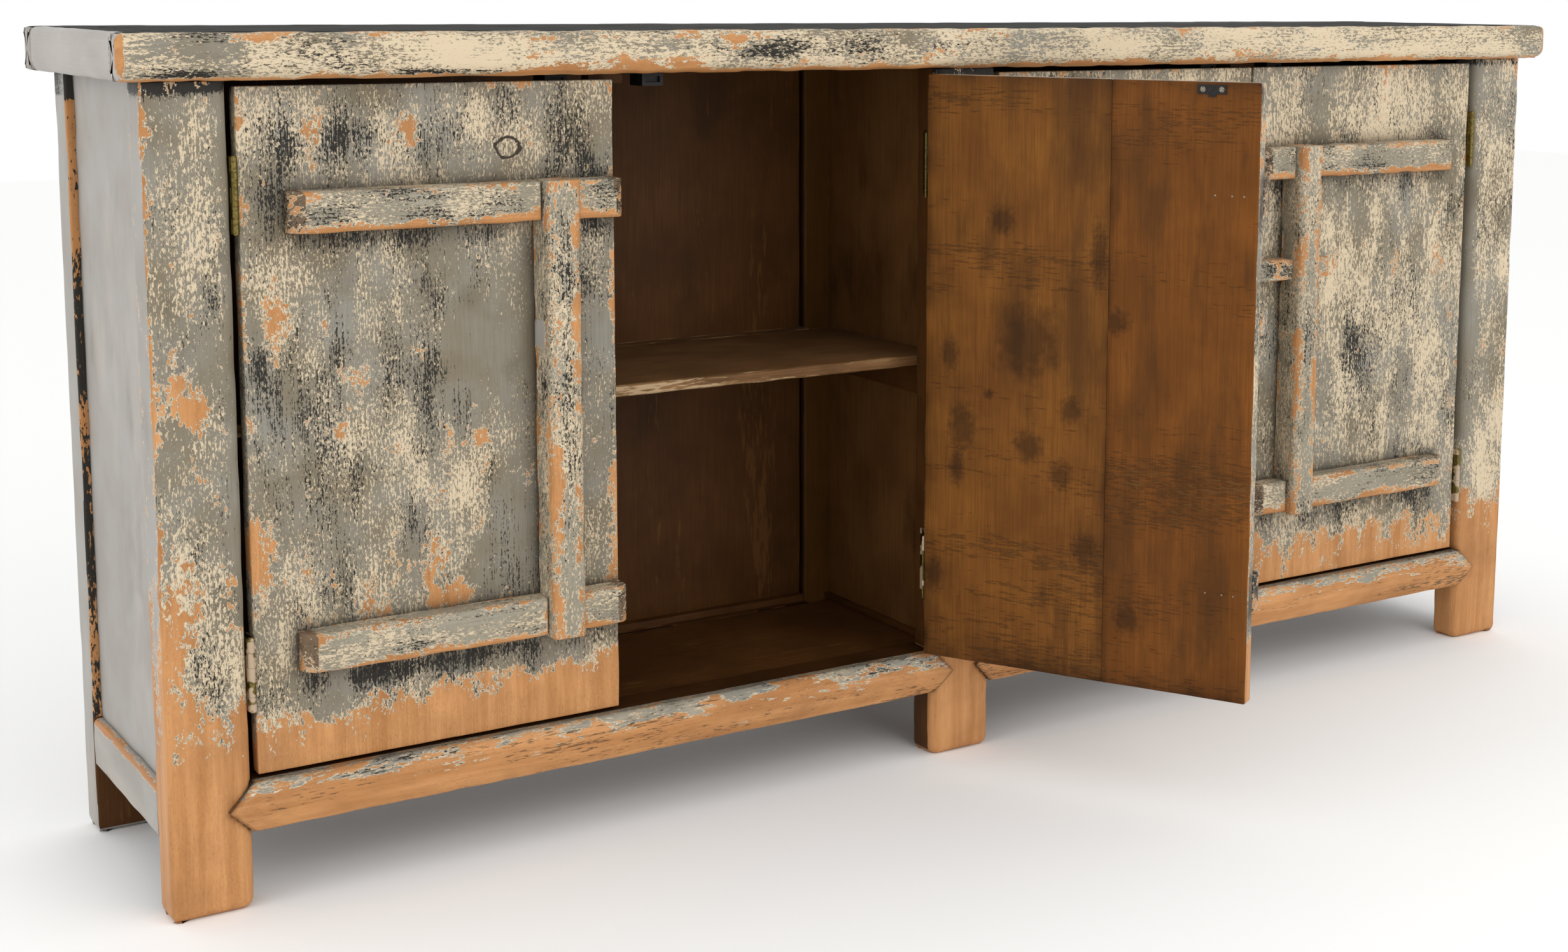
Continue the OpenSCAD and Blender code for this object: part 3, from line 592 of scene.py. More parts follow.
for seed, (node, sides) in enumerate(doorSides.items()):
    low, high = boxOf(node)
    rounds = [frontPosts["outerRound"]] * 4
    if -1 in sides:
        rounds[0] = frontPosts["sideRound"]
    if 1 in sides:
        rounds[1] = frontPosts["sideRound"]
    faces = [(side, high[0] if side > 0 else low[0]) for side in sides]
    shape = board(low, high, 2, rounds, (frontPosts["foot"], frontPosts["head"]), seed=seed + 3,
                  reshape=notched(faces))

    def postSide(centres):
        # the back is stained, and so are the cheeks of the centre post; the outer sides are painted
        x, y = centres[:, 0], centres[:, 1]
        back = y > high[1] - faceDepth["front"]
        if len(sides) == 2:
            cheek = (np.abs(x) > high[0] - faceDepth["front"]) & (y > low[1] + faceDepth["cheekFront"])
            return np.where(back | cheek, 1, 0)
        outer = np.maximum(np.abs(low[0]), np.abs(high[0])) - faceDepth["outer"]
        beyond = (np.abs(x) > outer) & (y > low[1] + faceDepth["front"])
        return np.where(back, 1, np.where(beyond, 2, 0))

    addPiece(node, [shape], [postPaint, stain, endPaint if len(sides) == 2 else sidePaint],
             wear=lambda p: postWear(p, low, high, postPatches[node]), inside=postSide)

stepMarks = {
    "black": (0.70, 0.64, 0.17), "pine": 0.13,
    "headAbove": 0.825, "head": 0.5,
    "cheekIn": 0.004, "cheekOut": 0.005, "shade": 0.9,
}
for seed, node in enumerate(["back_post_left", "back_post_right", "back_post_centre"]):
    low, high = boxOf(node)
    shape = board(low, high, 2, backPosts["round"], (frontPosts["foot"], frontPosts["head"]), seed=seed + 11)
    centred = node == "back_post_centre"

    def backSide(centres):
        # inner faces stained, the step beside the side panel bare, the centre post paler at its front
        front = centres[:, 1] < low[1] + faceDepth["front"]
        if centred:
            return np.where(front, 2, np.where(centres[:, 1] < high[1] - faceDepth["front"], 1, 0))
        step = front & (centres[:, 2] > railTop)
        return np.where(step, 3, np.where(front | (np.abs(centres[:, 0]) < innerSide(low, high)), 1, 0))

    def stepWear(points):
        # pine near the top of the step, black below and just under the top
        total = np.zeros((len(points), 3))
        total[:, 2] = ramp(points[:, 2], *stepMarks["black"]) - stepMarks["pine"]
        total[:, 2] += stepMarks["head"] * (points[:, 2] > stepMarks["headAbove"])
        return total

    def insideCorner(points):
        # painted shade: the cheeks of the centre post lie in shadow, so they are darkened
        y = points[:, 1]
        cheek = (y > low[1] + stepMarks["cheekIn"]) & (y < high[1] - stepMarks["cheekOut"])
        return stepMarks["shade"] * (cheek & centred)

    addPiece(node, [shape], [sidePaint, stain, paleStain, edgePine], wear=stepWear, soilAndShade=insideCorner,
             inside=backSide)
print("posts done")


# Rails

frontRails = {"round": 0.002, "end": 0.0006, "step": 0.005}
sideRails = {"round": 0.001, "slope": 0.006, "end": 0.0005}
railMarks = {
    "paint": (0.25, 0.75, 0.16), "bare": (0.2, -0.2, 0.12),
    "streaksLow": 0.06, "streaksHigh": 0.05, "streaks": 0.02,
    "seam": (0.0015, 0.8), "upperFrom": 0.85, "upper": 0.5,
    "arris": 0.45, "arrisWidth": 0.003,
}


def pointed(low, high):
    # bulges the front face and draws each end out to a 45 degree point
    start, end = low[0] + railHalf, high[0] - railHalf
    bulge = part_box("front_post_left")[0][1] - low[1]

    def reshape(points):
        rise = np.clip(1 - ((points[:, 2] - railMiddle) / railHalf) ** 2, 0, 1)
        depth = (points[:, 1] - low[1]) / (high[1] - low[1])
        points[:, 1] += bulge * (1 - rise) * np.clip(1 - depth, 0, 1)
        reach = fromRailMiddle(points)
        left, right = start - reach, end + reach
        share = (points[:, 0] - low[0]) / (high[0] - low[0])
        points[:, 0] = left + share * (right - left)
        return points
    return reshape


def railWear(points):
    # paint is left near the upper edge, dark streaks gather along the lower one
    rise = (points[:, 2] - railMiddle) / railHalf
    total = np.zeros((len(points), 3))
    total[:, 0] = ramp(rise, *railMarks["bare"])
    total[:, 0] -= ramp(rise, *railMarks["paint"])
    total[:, 2] = railMarks["streaksLow"] * ramp(rise, 0, -1) + railMarks["streaksHigh"] * ramp(rise, 0, 1)
    total[:, 2] -= railMarks["streaks"]
    return total


for seed, node in enumerate(["front_rail_left", "front_rail_right"]):
    low, high = boxOf(node)

    def railSoil(points):
        # a dark line along the joint with the doors and floor, and along each mitre
        rise = (points[:, 2] - railMiddle) / railHalf
        back = railHalf - fromRailMiddle(points)
        seam = np.minimum(np.abs(points[:, 0] - low[0] - back), np.abs(points[:, 0] - high[0] + back))
        darkening = trail(seam, *railMarks["seam"])
        return np.clip(darkening + railMarks["upper"] * ramp(rise, railMarks["upperFrom"], 1), 0, 1)

    shape = board(low, high, 0, frontRails["round"], frontRails["end"], step=frontRails["step"],
                  seed=seed + 21, reshape=pointed(low, high))
    addPiece(node, [shape], [railPaint, stain], wear=railWear, soilAndShade=railSoil,
             inside=lambda c: c[:, 1] > low[1] + faceDepth["rail"])
for seed, node in enumerate(["side_rail_left", "side_rail_right"]):
    low, high = boxOf(node)
    rounds = [sideRails["round"]] * 4
    rounds[1 if low[0] < 0 else 2] = sideRails["slope"]

    def sideRailWear(points):
        # the upper arris is rubbed to the pine
        total = np.zeros((len(points), 3))
        arris = bell(points[:, 2] - high[2] + railMarks["arrisWidth"], railMarks["arrisWidth"])
        total[:, 0] = railMarks["arris"] * arris
        return total

    shape = board(low, high, 1, rounds, sideRails["end"], seed=seed + 25)
    addPiece(node, [shape], [sidePaint, stain], wear=sideRailWear,
             inside=lambda c: np.abs(c[:, 0]) < innerSide(low, high))
for seed, node in enumerate(["back_rail_left", "back_rail_right"]):
    low, high = boxOf(node)
    addPiece(node, [board(low, high, 0, ends=sideRails["end"], seed=seed + 28)], [stain])
print("rails done")


# Panels, floor and shelves

panelShape = {"round": 0.001, "end": 0.0005, "step": 0.004, "hiddenStep": 0.012, "rear": 0.0008}
# besidePost and aboveRail: width and strength of the painted shade lines on the side panels
panelMarks = {
    "besidePost": (0.004, 0.85), "unevenSize": 0.02, "uneven": 0.4,
    "aboveRail": (0.003, 0.7), "flecks": (0.006, 0.34),
}
frontRound = {"shelf": 0.0035, "floor": 0.001}
for seed, node in enumerate(["side_panel_left", "side_panel_right"]):
    low, high = boxOf(node)

    def panelShade(points):
        # painted shade: a dark line in the recess beside the back post and along the rail
        uneven = 1 + panelMarks["uneven"] * ripple(points, panelMarks["unevenSize"], 5)
        beside = trail(high[1] - points[:, 1], *panelMarks["besidePost"])
        above = trail(points[:, 2] - low[2], *panelMarks["aboveRail"])
        return np.clip(beside * uneven + above, 0, 1)

    def panelWear(points):
        # black flecks run along the back edge
        total = np.zeros((len(points), 3))
        total[:, 2] = trail(high[1] - points[:, 1], *panelMarks["flecks"])
        return total

    shape = board(low, high, 2, panelShape["round"], panelShape["end"], step=panelShape["step"],
                  seed=seed + 31)
    addPiece(node, [shape], [sidePaint, stain], wear=panelWear, soilAndShade=panelShade,
             inside=lambda c: np.abs(c[:, 0]) < innerSide(low, high))
for seed, node in enumerate(["back_panel_left", "back_panel_right", "centre_partition"]):
    low, high = boxOf(node)
    shape = board(low, high, 2, panelShape["round"], panelShape["end"], step=panelShape["hiddenStep"],
                  seed=seed + 34)
    addPiece(node, [shape], [wallStain if node == "centre_partition" else stain])


def bayBoards(node, seed, front):
    # the part between the walls, then the part between the back posts
    low, high = boxOf(node)
    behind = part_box("back_post_left")[0][1]
    postIn = abs(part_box("back_post_left")[1][0])
    centreIn = abs(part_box("back_post_centre")[0][0])
    side = 1 if low[0] + high[0] > 0 else -1
    left, right = sorted([side * postIn, side * centreIn])
    radii = [front, panelShape["rear"], panelShape["rear"], front]
    main = board(low, (high[0], behind, high[2]), 0, radii, panelShape["end"], seed=seed)
    rear = board((left, behind, low[2]), (right, high[1], high[2]), 0, panelShape["end"], panelShape["end"],
                 seed=seed + 1)
    addPiece(node, [main, rear], [shelfStain if "shelf" in node else stain])


for seed, node in enumerate(["floor_panel_left", "floor_panel_right", "shelf_left", "shelf_right"]):
    bayBoards(node, seed * 2 + 40, frontRound[node.split("_")[0]])
for seed, node in enumerate(["shelf_cleats", "partition_strips", "door_stop_blocks"]):
    grain = 0 if node == "door_stop_blocks" else 1
    shapes = [board(low, high, grain, panelShape["round"], panelShape["end"], seed=seed * 5 + 50 + i)
              for i, (low, high) in enumerate(solidBoxes(node))]
    addPiece(node, shapes, [stain])
print("panels done")


# Top

topEdge = {
    "upper": 0.008, "underDepth": 0.020, "underHeight": 0.015, "endDepth": 0.008, "joint": 0.001,
    "stainDepth": 0.002, "stainFrom": 0.010, "endStain": 0.015, "worn": 0.0012, "step": 0.004,
    "backRound": 0.002, "backEnd": 0.006, "sideRound": 0.0008, "sideEnd": 0.0006, "sideStep": 0.0022,
    "centreRound": 0.0012, "centreEnd": 0.0005, "centreStep": 0.01,
}
low, high = boxOf("top_front_board")
front = [(topEdge["underDepth"], topEdge["underHeight"]), topEdge["joint"], topEdge["joint"], topEdge["upper"]]
# hills of wear on the front edge: millimetres from the middle and above the floor
slabPatches = [
    (2, -935, 858, 45, 7, 0.30), (2, -690, 857, 50, 5, 0.28), (2, -590, 857, 60, 4, 0.2),
    (2, -265, 880, 50, 18, 0.14), (2, -150, 874, 50, 14, 0.12), (2, -330, 870, 60, 8, 0.1),
    (1, -930, 884, 70, 14, -0.22), (2, -930, 884, 60, 12, -0.1), (1, -700, 876, 180, 20, 0.10),
    (2, -650, 882, 160, 10, -0.1), (0, -860, 893, 26, 5, 0.22), (0, -570, 874, 14, 8, 0.16),
    (0, -440, 866, 90, 10, 0.16), (0, -540, 858, 60, 6, 0.2), (0, -450, 892, 220, 4, 0.16),
    (0, -330, 885, 26, 9, 0.14), (0, -60, 880, 60, 12, 0.10), (0, 60, 885, 50, 8, 0.10),
    (0, 420, 866, 120, 8, 0.1), (1, 560, 876, 420, 30, 0.05), (2, 600, 876, 400, 30, -0.05),
    (0, 180, 858, 700, 4, 0.14)]
slabMarks = {
    "lower": (0.13, 0.03, 0.30), "upperFrom": 0.9, "upper": 0.10,
    "corner": 0.40, "cornerWide": 0.0079, "cornerDeep": 0.009, "endWide": 0.0044, "endFrom": 0.007,
}


def slabWear(points):
    # bare along the lower arris and at the upright corners, patches elsewhere
    total = hills(points[:, 0] * 1000, points[:, 2] * 1000, slabPatches)
    rise = (points[:, 2] - low[2]) / (high[2] - low[2])
    total[:, 0] += ramp(rise, *slabMarks["lower"])
    total[:, 0] += slabMarks["upper"] * ramp(rise, slabMarks["upperFrom"], 1)
    ended = np.abs(points[:, 0]) > high[0] - slabMarks["cornerWide"]
    total[:, 0] += slabMarks["corner"] * (ended & (points[:, 1] < low[1] + slabMarks["cornerDeep"]))
    return total


def upperFace(centres):
    return centres[:, 2] > high[2] - topEdge["stainDepth"]


def slabSide(centres):
    # the upper face is stained, the ends are painted like the end boards
    x, y = centres[:, 0], centres[:, 1]
    stained = upperFace(centres) & (y > low[1] + topEdge["stainFrom"])
    ended = (np.abs(x) > high[0] - slabMarks["endWide"]) & (y > low[1] + slabMarks["endFrom"])
    return np.where(stained, 1, np.where(ended, 2, 0))


shape = board(low, high, 0, front, topEdge["upper"], step=topEdge["step"], seed=61, worn=topEdge["worn"])
addPiece("top_front_board", [shape], [topPaint, topStain, endPaint], wear=slabWear, inside=slabSide)
low, high = boxOf("top_back_board")
shape = board(low, high, 0, topEdge["backRound"], topEdge["backEnd"], seed=62)
addPiece("top_back_board", [shape], [sidePaint, topStain], inside=upperFace)
seamLine = {"swing": 0.0025, "pitch": 0.007, "inset": 0.0015, "width": 0.0016, "strength": 0.42}
for seed, node in enumerate(["top_left_end_board", "top_right_end_board"]):
    low, high = boxOf(node)
    rounds = [topEdge["sideRound"]] * 4
    under, upper = (topEdge["underHeight"], topEdge["endDepth"]), topEdge["upper"]
    if low[0] < 0:
        rounds[0], rounds[1] = under, upper
    else:
        rounds[3], rounds[2] = under, upper

    def seamMarks(points):
        # a zigzag of black along both joints: the distance to the joint swings with the height
        swing = seamLine["swing"] * np.abs((points[:, 2] / seamLine["pitch"]) % 2 - 1)
        nearest = np.minimum(points[:, 1] - low[1], high[1] - points[:, 1])
        total = np.zeros((len(points), 3))
        total[:, 2] = seamLine["strength"] * bell(nearest - swing - seamLine["inset"], seamLine["width"])
        return total

    def endBoardSide(centres):
        outer = np.maximum(np.abs(low[0]), np.abs(high[0])) - topEdge["endStain"]
        return upperFace(centres) & (np.abs(centres[:, 0]) < outer)

    shape = board(low, high, 1, rounds, topEdge["sideEnd"], step=topEdge["sideStep"], seed=seed + 64)
    addPiece(node, [shape], [endPaint, topStain], wear=seamMarks, inside=endBoardSide)
shapes = [board(low, high, 0, topEdge["centreRound"], topEdge["centreEnd"], step=topEdge["centreStep"],
                seed=67 + i)
          for i, (low, high) in enumerate(solidBoxes("top_centre_boards"))]
addPiece("top_centre_boards", shapes, [topStain])
print("top done")


# Doors

doorShape = {"round": 0.002, "joint": 0.00005, "jointBack": 0.001, "end": 0.0015, "step": 0.005}
battenShape = {
    "bevel": 0.005, "hidden": 0.0008, "end": 0.001, "step": 0.004, "worn": 0.0012,
    "endSlope": (0.015, 0.014), "endFace": 0.0125, "middleSlope": (0.003, 0.006),
    "shortSlope": 0.7, "longest": 0.15, "uprightBevel": 0.0085, "uprightEnd": 0.0015, "uprightWorn": 0.0015,
}
boltShape = {"round": 0.003, "end": 0.002, "plugRound": 0.001, "plugEnd": 0.0004, "step": 0.004}


def slopedEnds(low, high, lowSlope, highSlope):
    # cuts the front corners of a batten at each end
    def reshape(points):
        front = points[:, 1] - low[1]
        lowCut = lowSlope[0] * np.clip(1 - front / lowSlope[1], 0, 1)
        highCut = highSlope[0] * np.clip(1 - front / highSlope[1], 0, 1)
        share = (points[:, 0] - low[0]) / (high[0] - low[0])
        points[:, 0] += lowCut * (1 - share) - highCut * share
        return points
    return reshape


# hills of wear on the doors: millimetres from the hinge edge and above the floor
doorPatches = {
    1: [(1, 200, 812, 220, 26, 0.05), (2, 200, 800, 200, 30, 0.03), (1, 60, 560, 60, 200, 0.03),
        (0, 32, 620, 20, 50, 0.20), (0, 250, 440, 45, 45, 0.14), (0, 200, 335, 65, 40, 0.15),
        (0, 17, 376, 26, 50, 0.16), (0, 55, 335, 22, 24, 0.15), (0, 105, 505, 24, 30, 0.10),
        (0, 78, 798, 10, 26, 0.18), (0, 174, 800, 16, 16, 0.14), (0, 409, 619, 9, 60, 0.16),
        (0, 400, 377, 16, 50, 0.14), (0, 395, 300, 20, 40, 0.10), (0, 200, 296, 150, 14, 0.14),
        (1, 100, 669, 60, 60, 0.05), (1, 130, 450, 80, 90, 0.05), (1, 200, 800, 220, 36, 0.06),
        (2, 33, 728, 12, 26, 0.12), (2, 174, 640, 70, 30, 0.07), (0, 396, 572, 14, 18, -0.25),
        (1, 396, 572, 14, 18, -0.25), (2, 396, 572, 14, 18, -0.25), (2, 60, 440, 40, 80, 0.08),
        (2, 100, 790, 60, 24, 0.10), (2, 390, 740, 30, 60, 0.10), (2, 120, 690, 60, 14, 0.10),
        (2, 180, 225, 140, 12, 0.12), (1, 280, 600, 45, 90, -0.10), (2, 280, 600, 45, 90, -0.12),
        (0, 280, 600, 50, 90, -0.15), (1, 285, 320, 40, 50, -0.12), (0, 290, 320, 36, 44, -0.12),
        (0, 60, 240, 50, 40, -0.10), (0, 330, 235, 80, 30, -0.14), (1, 150, 560, 80, 60, -0.04)],
    2: [(1, 200, 500, 200, 200, 0.04)],
    3: [(1, 200, 480, 400, 500, 0.06), (2, 200, 480, 400, 500, -0.03), (1, 200, 700, 150, 100, 0.06),
        (0, 300, 180, 200, 60, 0.1), (1, 250, 400, 60, 200, -0.05), (2, 300, 320, 60, 50, 0.08)],
    4: [(1, 200, 480, 400, 500, 0.05), (2, 200, 480, 400, 500, -0.02), (1, 120, 760, 140, 60, 0.07),
        (2, 180, 420, 60, 120, 0.10), (1, 230, 560, 60, 80, 0.05), (0, 40, 560, 24, 60, 0.12),
        (0, 250, 190, 200, 40, 0.12), (1, 60, 480, 40, 160, 0.05), (0, 330, 200, 30, 60, -0.12)],
}
bareFoot = {1: 0.5, 2: 0.5, 3: 0.26, 4: 0.24}
# corner: width and strength of the dirt and painted shade beside the battens
doorMarks = {
    "bareFrom": 0.215, "bareOver": 0.085, "bareRise": 0.06,
    "underMiddle": 0.012, "underWidth": 0.014, "underBlack": 0.09, "underKept": 0.15,
    "corner": (0.007, 0.75),
    "battenBare": 0.08, "battenKept": 0.02, "battenTo": 0.35, "battenNear": 0.1,
}
backMarks = {
    "foot": (0.02, 0.55), "head": (0.012, 0.4), "hinge": (0.016, 0.45), "seam": (0.006, 0.4),
    "unevenSize": 0.03, "uneven": 0.5, "most": 0.9,
    "faceDepth": 0.003, "hingeRim": 0.001,
}
# dark knots on the back of the open door: from the hinge edge, above the floor, size, all in
# millimetres, and how flat
backKnots = [
    (100, 678, 13, 1.0), (136, 537, 30, 0.8), (33, 513, 9, 0.6), (51, 427, 14, 0.6), (191, 460, 11, 0.8),
    (138, 412, 15, 1.0), (180, 381, 11, 0.8), (211, 294, 13, 0.7), (266, 219, 13, 1.0), (14, 241, 10, 0.6),
    (44, 378, 7, 0.4), (247, 568, 12, 1.0), (224, 643, 9, 0.3), (85, 470, 5, 1.0)]
knotLook = {"size": 0.65, "soft": 1.5, "ragged": 3.2, "strength": 0.6, "colour": "#2b1b0c"}
knotRing = {
    "across": 0.289, "height": 0.776, "mm": 15, "flat": 1.3, "soft": 0.06, "ragged": 0.9, "ring": 0.2,
    "strength": 0.95, "colour": "#2b2118"}
for number in (1, 2, 3, 4):
    name = f"door_{number}_"
    face = shutBoxes(name + "wide_board")[0]
    hingeSide = 1 if number % 2 else -1
    hingeEdge, seamX = (face[0][0], face[1][0]) if hingeSide > 0 else (face[1][0], face[0][0])
    backY = face[1][1]
    battenBoxes = shutBoxes(name + "cross_battens")
    raised = battenBoxes + shutBoxes(name + "upright_batten")

    def fromHinge(points):
        return (points[:, 0] - hingeEdge) * hingeSide

    def doorWear(points):
        # bare along the bottom, ragged above, and as the patches say
        x, z, across = points[:, 0], points[:, 2], fromHinge(points)
        total = hills(across * 1000, z * 1000, doorPatches[number])
        bareTop = doorMarks["bareFrom"] + across * doorMarks["bareRise"]
        total[:, 0] += bareFoot[number] * np.clip((bareTop - z) / doorMarks["bareOver"], 0, 1)
        for low, high in battenBoxes:
            # a ragged band of black under each batten: black paint marks, with painted shade under the batten
            under = bell(z - low[2] + doorMarks["underMiddle"], doorMarks["underWidth"])
            total[:, 2] += doorMarks["underBlack"] * under * (x > low[0]) * (x < high[0])
            total[:, 0] -= doorMarks["underKept"] * under
        return total

    def besideBattens(points):
        # darker in the corner beside each raised batten: dirt, and painted shade beside the batten
        darkening = np.zeros(len(points))
        for low, high in raised:
            past = np.maximum(low[[0, 2]] - points[:, [0, 2]], points[:, [0, 2]] - high[[0, 2]])
            apart = np.linalg.norm(np.clip(past, 0, None), axis=1)
            darkening = np.maximum(darkening, trail(apart, *doorMarks["corner"]))
        return np.where(points[:, 1] < backY - faceDepth["front"], darkening, 0)

    def backSoil(points):
        # the back is darker towards its top, foot, hinge edge and seam
        z = points[:, 2]
        rim = trail(z - face[0][2], *backMarks["foot"])
        rim += trail(face[1][2] - z, *backMarks["head"])
        rim += trail(fromHinge(points), *backMarks["hinge"])
        rim += trail(np.abs(points[:, 0] - seamX), *backMarks["seam"])
        uneven = 1 + backMarks["uneven"] * ripple(points, backMarks["unevenSize"], number)
        return np.clip(rim * uneven, 0, backMarks["most"])

    # door backs darker towards their rims; door fronts darkened beside the battens with dirt and painted shade
    def boardDirtAndShade(points):
        back = points[:, 1] > backY - backMarks["faceDepth"]
        return np.where(back, backSoil(points), besideBattens(points))

    def backFace(centres):
        return (centres[:, 1] > backY - faceDepth["door"]) & (fromHinge(centres) > backMarks["hingeRim"])

    for kind, look, back in (("wide_board", doorStainLook, doorStain),
                             ("narrow_board", secondStainLook, secondStain)):
        low, high = shutBoxes(name + kind)[0]
        seed = number + 70
        seamed = abs(low[0] - seamX) < faceDepth["front"]
        rounds = [doorShape["round"]] * 4
        rounds[0 if seamed else 1] = doorShape["joint"]
        rounds[3 if seamed else 2] = doorShape["jointBack"]
        shape = board(low, high, 2, rounds, doorShape["end"], step=doorShape["step"], seed=seed, joint=seamX)
        shift = boardStep * seed
        knots = [dict(knotLook, at=shift + [hingeEdge + hingeSide * across / 1000, 0, height / 1000],
                      mm=mm * knotLook["size"], flat=flat)
                 for across, height, mm, flat in backKnots
                 if number == 2 and low[0] < hingeEdge + hingeSide * across / 1000 < high[0]]
        if knots:
            finishName = "knotty " + kind.replace("_", " ") + " in walnut stain"
            back = layeredWood(finishName, dict(look, knots=knots))
        front = doorPaint
        ringAt = hingeEdge + knotRing["across"]
        if number == 1 and low[0] < ringAt < high[0]:
            ring = dict(knotRing, at=shift + [ringAt, 0, knotRing["height"]])
            front = layeredWood("sanded milk paint with a knot", dict(paintLook, knots=[ring]))
        addPiece(name + kind, [shape], [front, back], wear=doorWear, soilAndShade=boardDirtAndShade, inside=backFace)

    shapes, longEnds = [], []
    for seed, (low, high) in enumerate(battenBoxes):
        # the long pieces slope at the hinge side, the short ones less, at the free side
        long = high[0] - low[0] > battenShape["longest"]
        slope = battenShape["endSlope"]
        if not long:
            slope = [value * battenShape["shortSlope"] for value in slope]
        outward = (hingeSide > 0) == long
        slopes = (slope, battenShape["middleSlope"]) if outward else (battenShape["middleSlope"], slope)
        longEnds.append((low[0], 1) if outward else (high[0], -1))
        bevel, hidden = battenShape["bevel"], battenShape["hidden"]
        shapes.append(board(low, high, 0, [bevel, hidden, hidden, bevel], battenShape["end"],
                            step=battenShape["step"], seed=number * 10 + seed + 110,
                            worn=battenShape["worn"], reshape=slopedEnds(low, high, *slopes)))

    def battenWear(points):
        # the lower arris is rubbed bare
        total = np.zeros((len(points), 3))
        for low, high in battenBoxes:
            rise = (points[:, 2] - low[2]) / (high[2] - low[2])
            near = (rise > -doorMarks["battenNear"]) & (rise < 1 + doorMarks["battenNear"])
            bare = doorMarks["battenBare"] * ramp(rise, doorMarks["battenTo"], 0) - doorMarks["battenKept"]
            total[near, 0] += bare[near]
        return total

    def cutEnd(centres):
        x, reach = centres[:, 0], battenShape["endFace"]
        return np.any([(np.abs(x - end) < reach) & ((x - end) * way < reach) for end, way in longEnds],
                      axis=0)

    addPiece(name + "cross_battens", shapes, [battenPaint, endGrain], wear=battenWear, inside=cutEnd)
    low, high = shutBoxes(name + "upright_batten")[0]
    bevel, hidden = battenShape["uprightBevel"], battenShape["hidden"]
    shape = board(low, high, 2, [bevel, bevel, hidden, hidden], battenShape["uprightEnd"],
                  step=battenShape["step"], seed=number + 160, worn=battenShape["uprightWorn"])
    addPiece(name + "upright_batten", [shape], [battenPaint])
    if number % 2:
        low, high = shutBoxes(name + "bolt_plug")[0]
        shape = board(low, high, 0, boltShape["plugRound"], boltShape["plugEnd"], step=boltShape["step"],
                      seed=number + 170)
        addPiece(name + "bolt_plug", [shape], [endPaint])
    else:
        bolt = "cross_bolt_left" if number == 2 else "cross_bolt_right"
        low, high = shutBoxes(bolt)[0]
        shape = board(low, high, 0, boltShape["round"], boltShape["end"], step=boltShape["step"],
                      seed=number + 180)
        addPiece(bolt, [shape], [battenPaint])
print("doors done")


# Metal

metalFinish = {"range": (0.4, 0.6), "smoother": 0.12, "rougher": 0.15, "bump": 0.2, "depth": 0.0004}


def agedMetal(name, colours, metallic, roughness, spotMm, painted=None):
    material, tree, shader = newFinish(name)
    at = addNode(tree, "TexCoord").outputs["Object"]
    spots = addNode(tree, "TexNoise", {"Vector": at, "Scale": 1000 / spotMm, "Detail": 4.0}).outputs["Fac"]
    low, high = metalFinish["range"]
    share = addNode(tree, "MapRange", {"Value": spots, "From Min": low, "From Max": high}).outputs[0]
    first, second = [linearColour(colour) for colour in colours]
    colour = addNode(tree, "Mix", {"Factor": share, "A": first, "B": second},
                     data_type="RGBA").outputs["Result"]
    shader.inputs["Metallic"].default_value = metallic
    if painted:
        # remains of paint on the lower hinges, in patches along their length
        height = addNode(tree, "SeparateXYZ", {0: at}).outputs["Z"]
        lower = addNode(tree, "MapRange", {"Value": height, "From Min": painted["below"] + 0.01,
                                           "From Max": painted["below"]}).outputs[0]
        bands = addNode(tree, "TexNoise", {"Vector": at, "Scale": 1000 / painted["mm"], "Detail": 2.0})
        bands = addNode(tree, "MapRange", {"Value": bands.outputs["Fac"], "From Min": painted["range"][0],
                                           "From Max": painted["range"][1]})
        cover = addNode(tree, "Math", {0: lower, 1: bands.outputs[0]}, operation="MULTIPLY").outputs[0]
        colour = addNode(tree, "Mix", {"Factor": cover, "A": colour, "B": linearColour(painted["colour"])},
                         data_type="RGBA").outputs["Result"]
        metal = addNode(tree, "MapRange", {"Value": cover, "To Min": metallic, "To Max": 0.0}).outputs[0]
        tree.links.new(metal, shader.inputs["Metallic"])
    tree.links.new(colour, shader.inputs["Base Color"])
    gloss = addNode(tree, "MapRange", {"Value": spots, "To Min": roughness - metalFinish["smoother"],
                                       "To Max": roughness + metalFinish["rougher"]})
    tree.links.new(gloss.outputs[0], shader.inputs["Roughness"])
    bump = addNode(tree, "Bump", {"Height": spots, "Strength": metalFinish["bump"],
                                  "Distance": metalFinish["depth"]})
    tree.links.new(bump.outputs["Normal"], shader.inputs["Normal"])
    return material


# brass dulled by handling, steel blackened in oil, and bright steel gone grey
agedBrass = agedMetal("aged brass", ("#80713f", "#5d5330"), 1.0, 0.42, 3.0,
                      painted={"below": 0.4, "mm": 22, "range": (0.47, 0.5), "colour": "#b09a80"})
blackIron = agedMetal("blackened steel", ("#1d1c1b", "#2a2827"), 0.6, 0.5, 2.0)
nailSteel = agedMetal("worn nail steel", ("#a39a8c", "#6b6358"), 0.8, 0.4, 1.0)
metals = {"hinge_brass": agedBrass, "black_metal": blackIron}
for node, item in frame["nodes"].items():
    if slotOf[node] in metals:
        for slot in item.material_slots:
            slot.material = metals[slotOf[node]]


# Nail heads on the door backs and screw heads on the strikes

headShape = {"cells": 12, "crown": 1.02, "slotDepth": 0.45, "slotReach": 0.7, "root": 0.3}


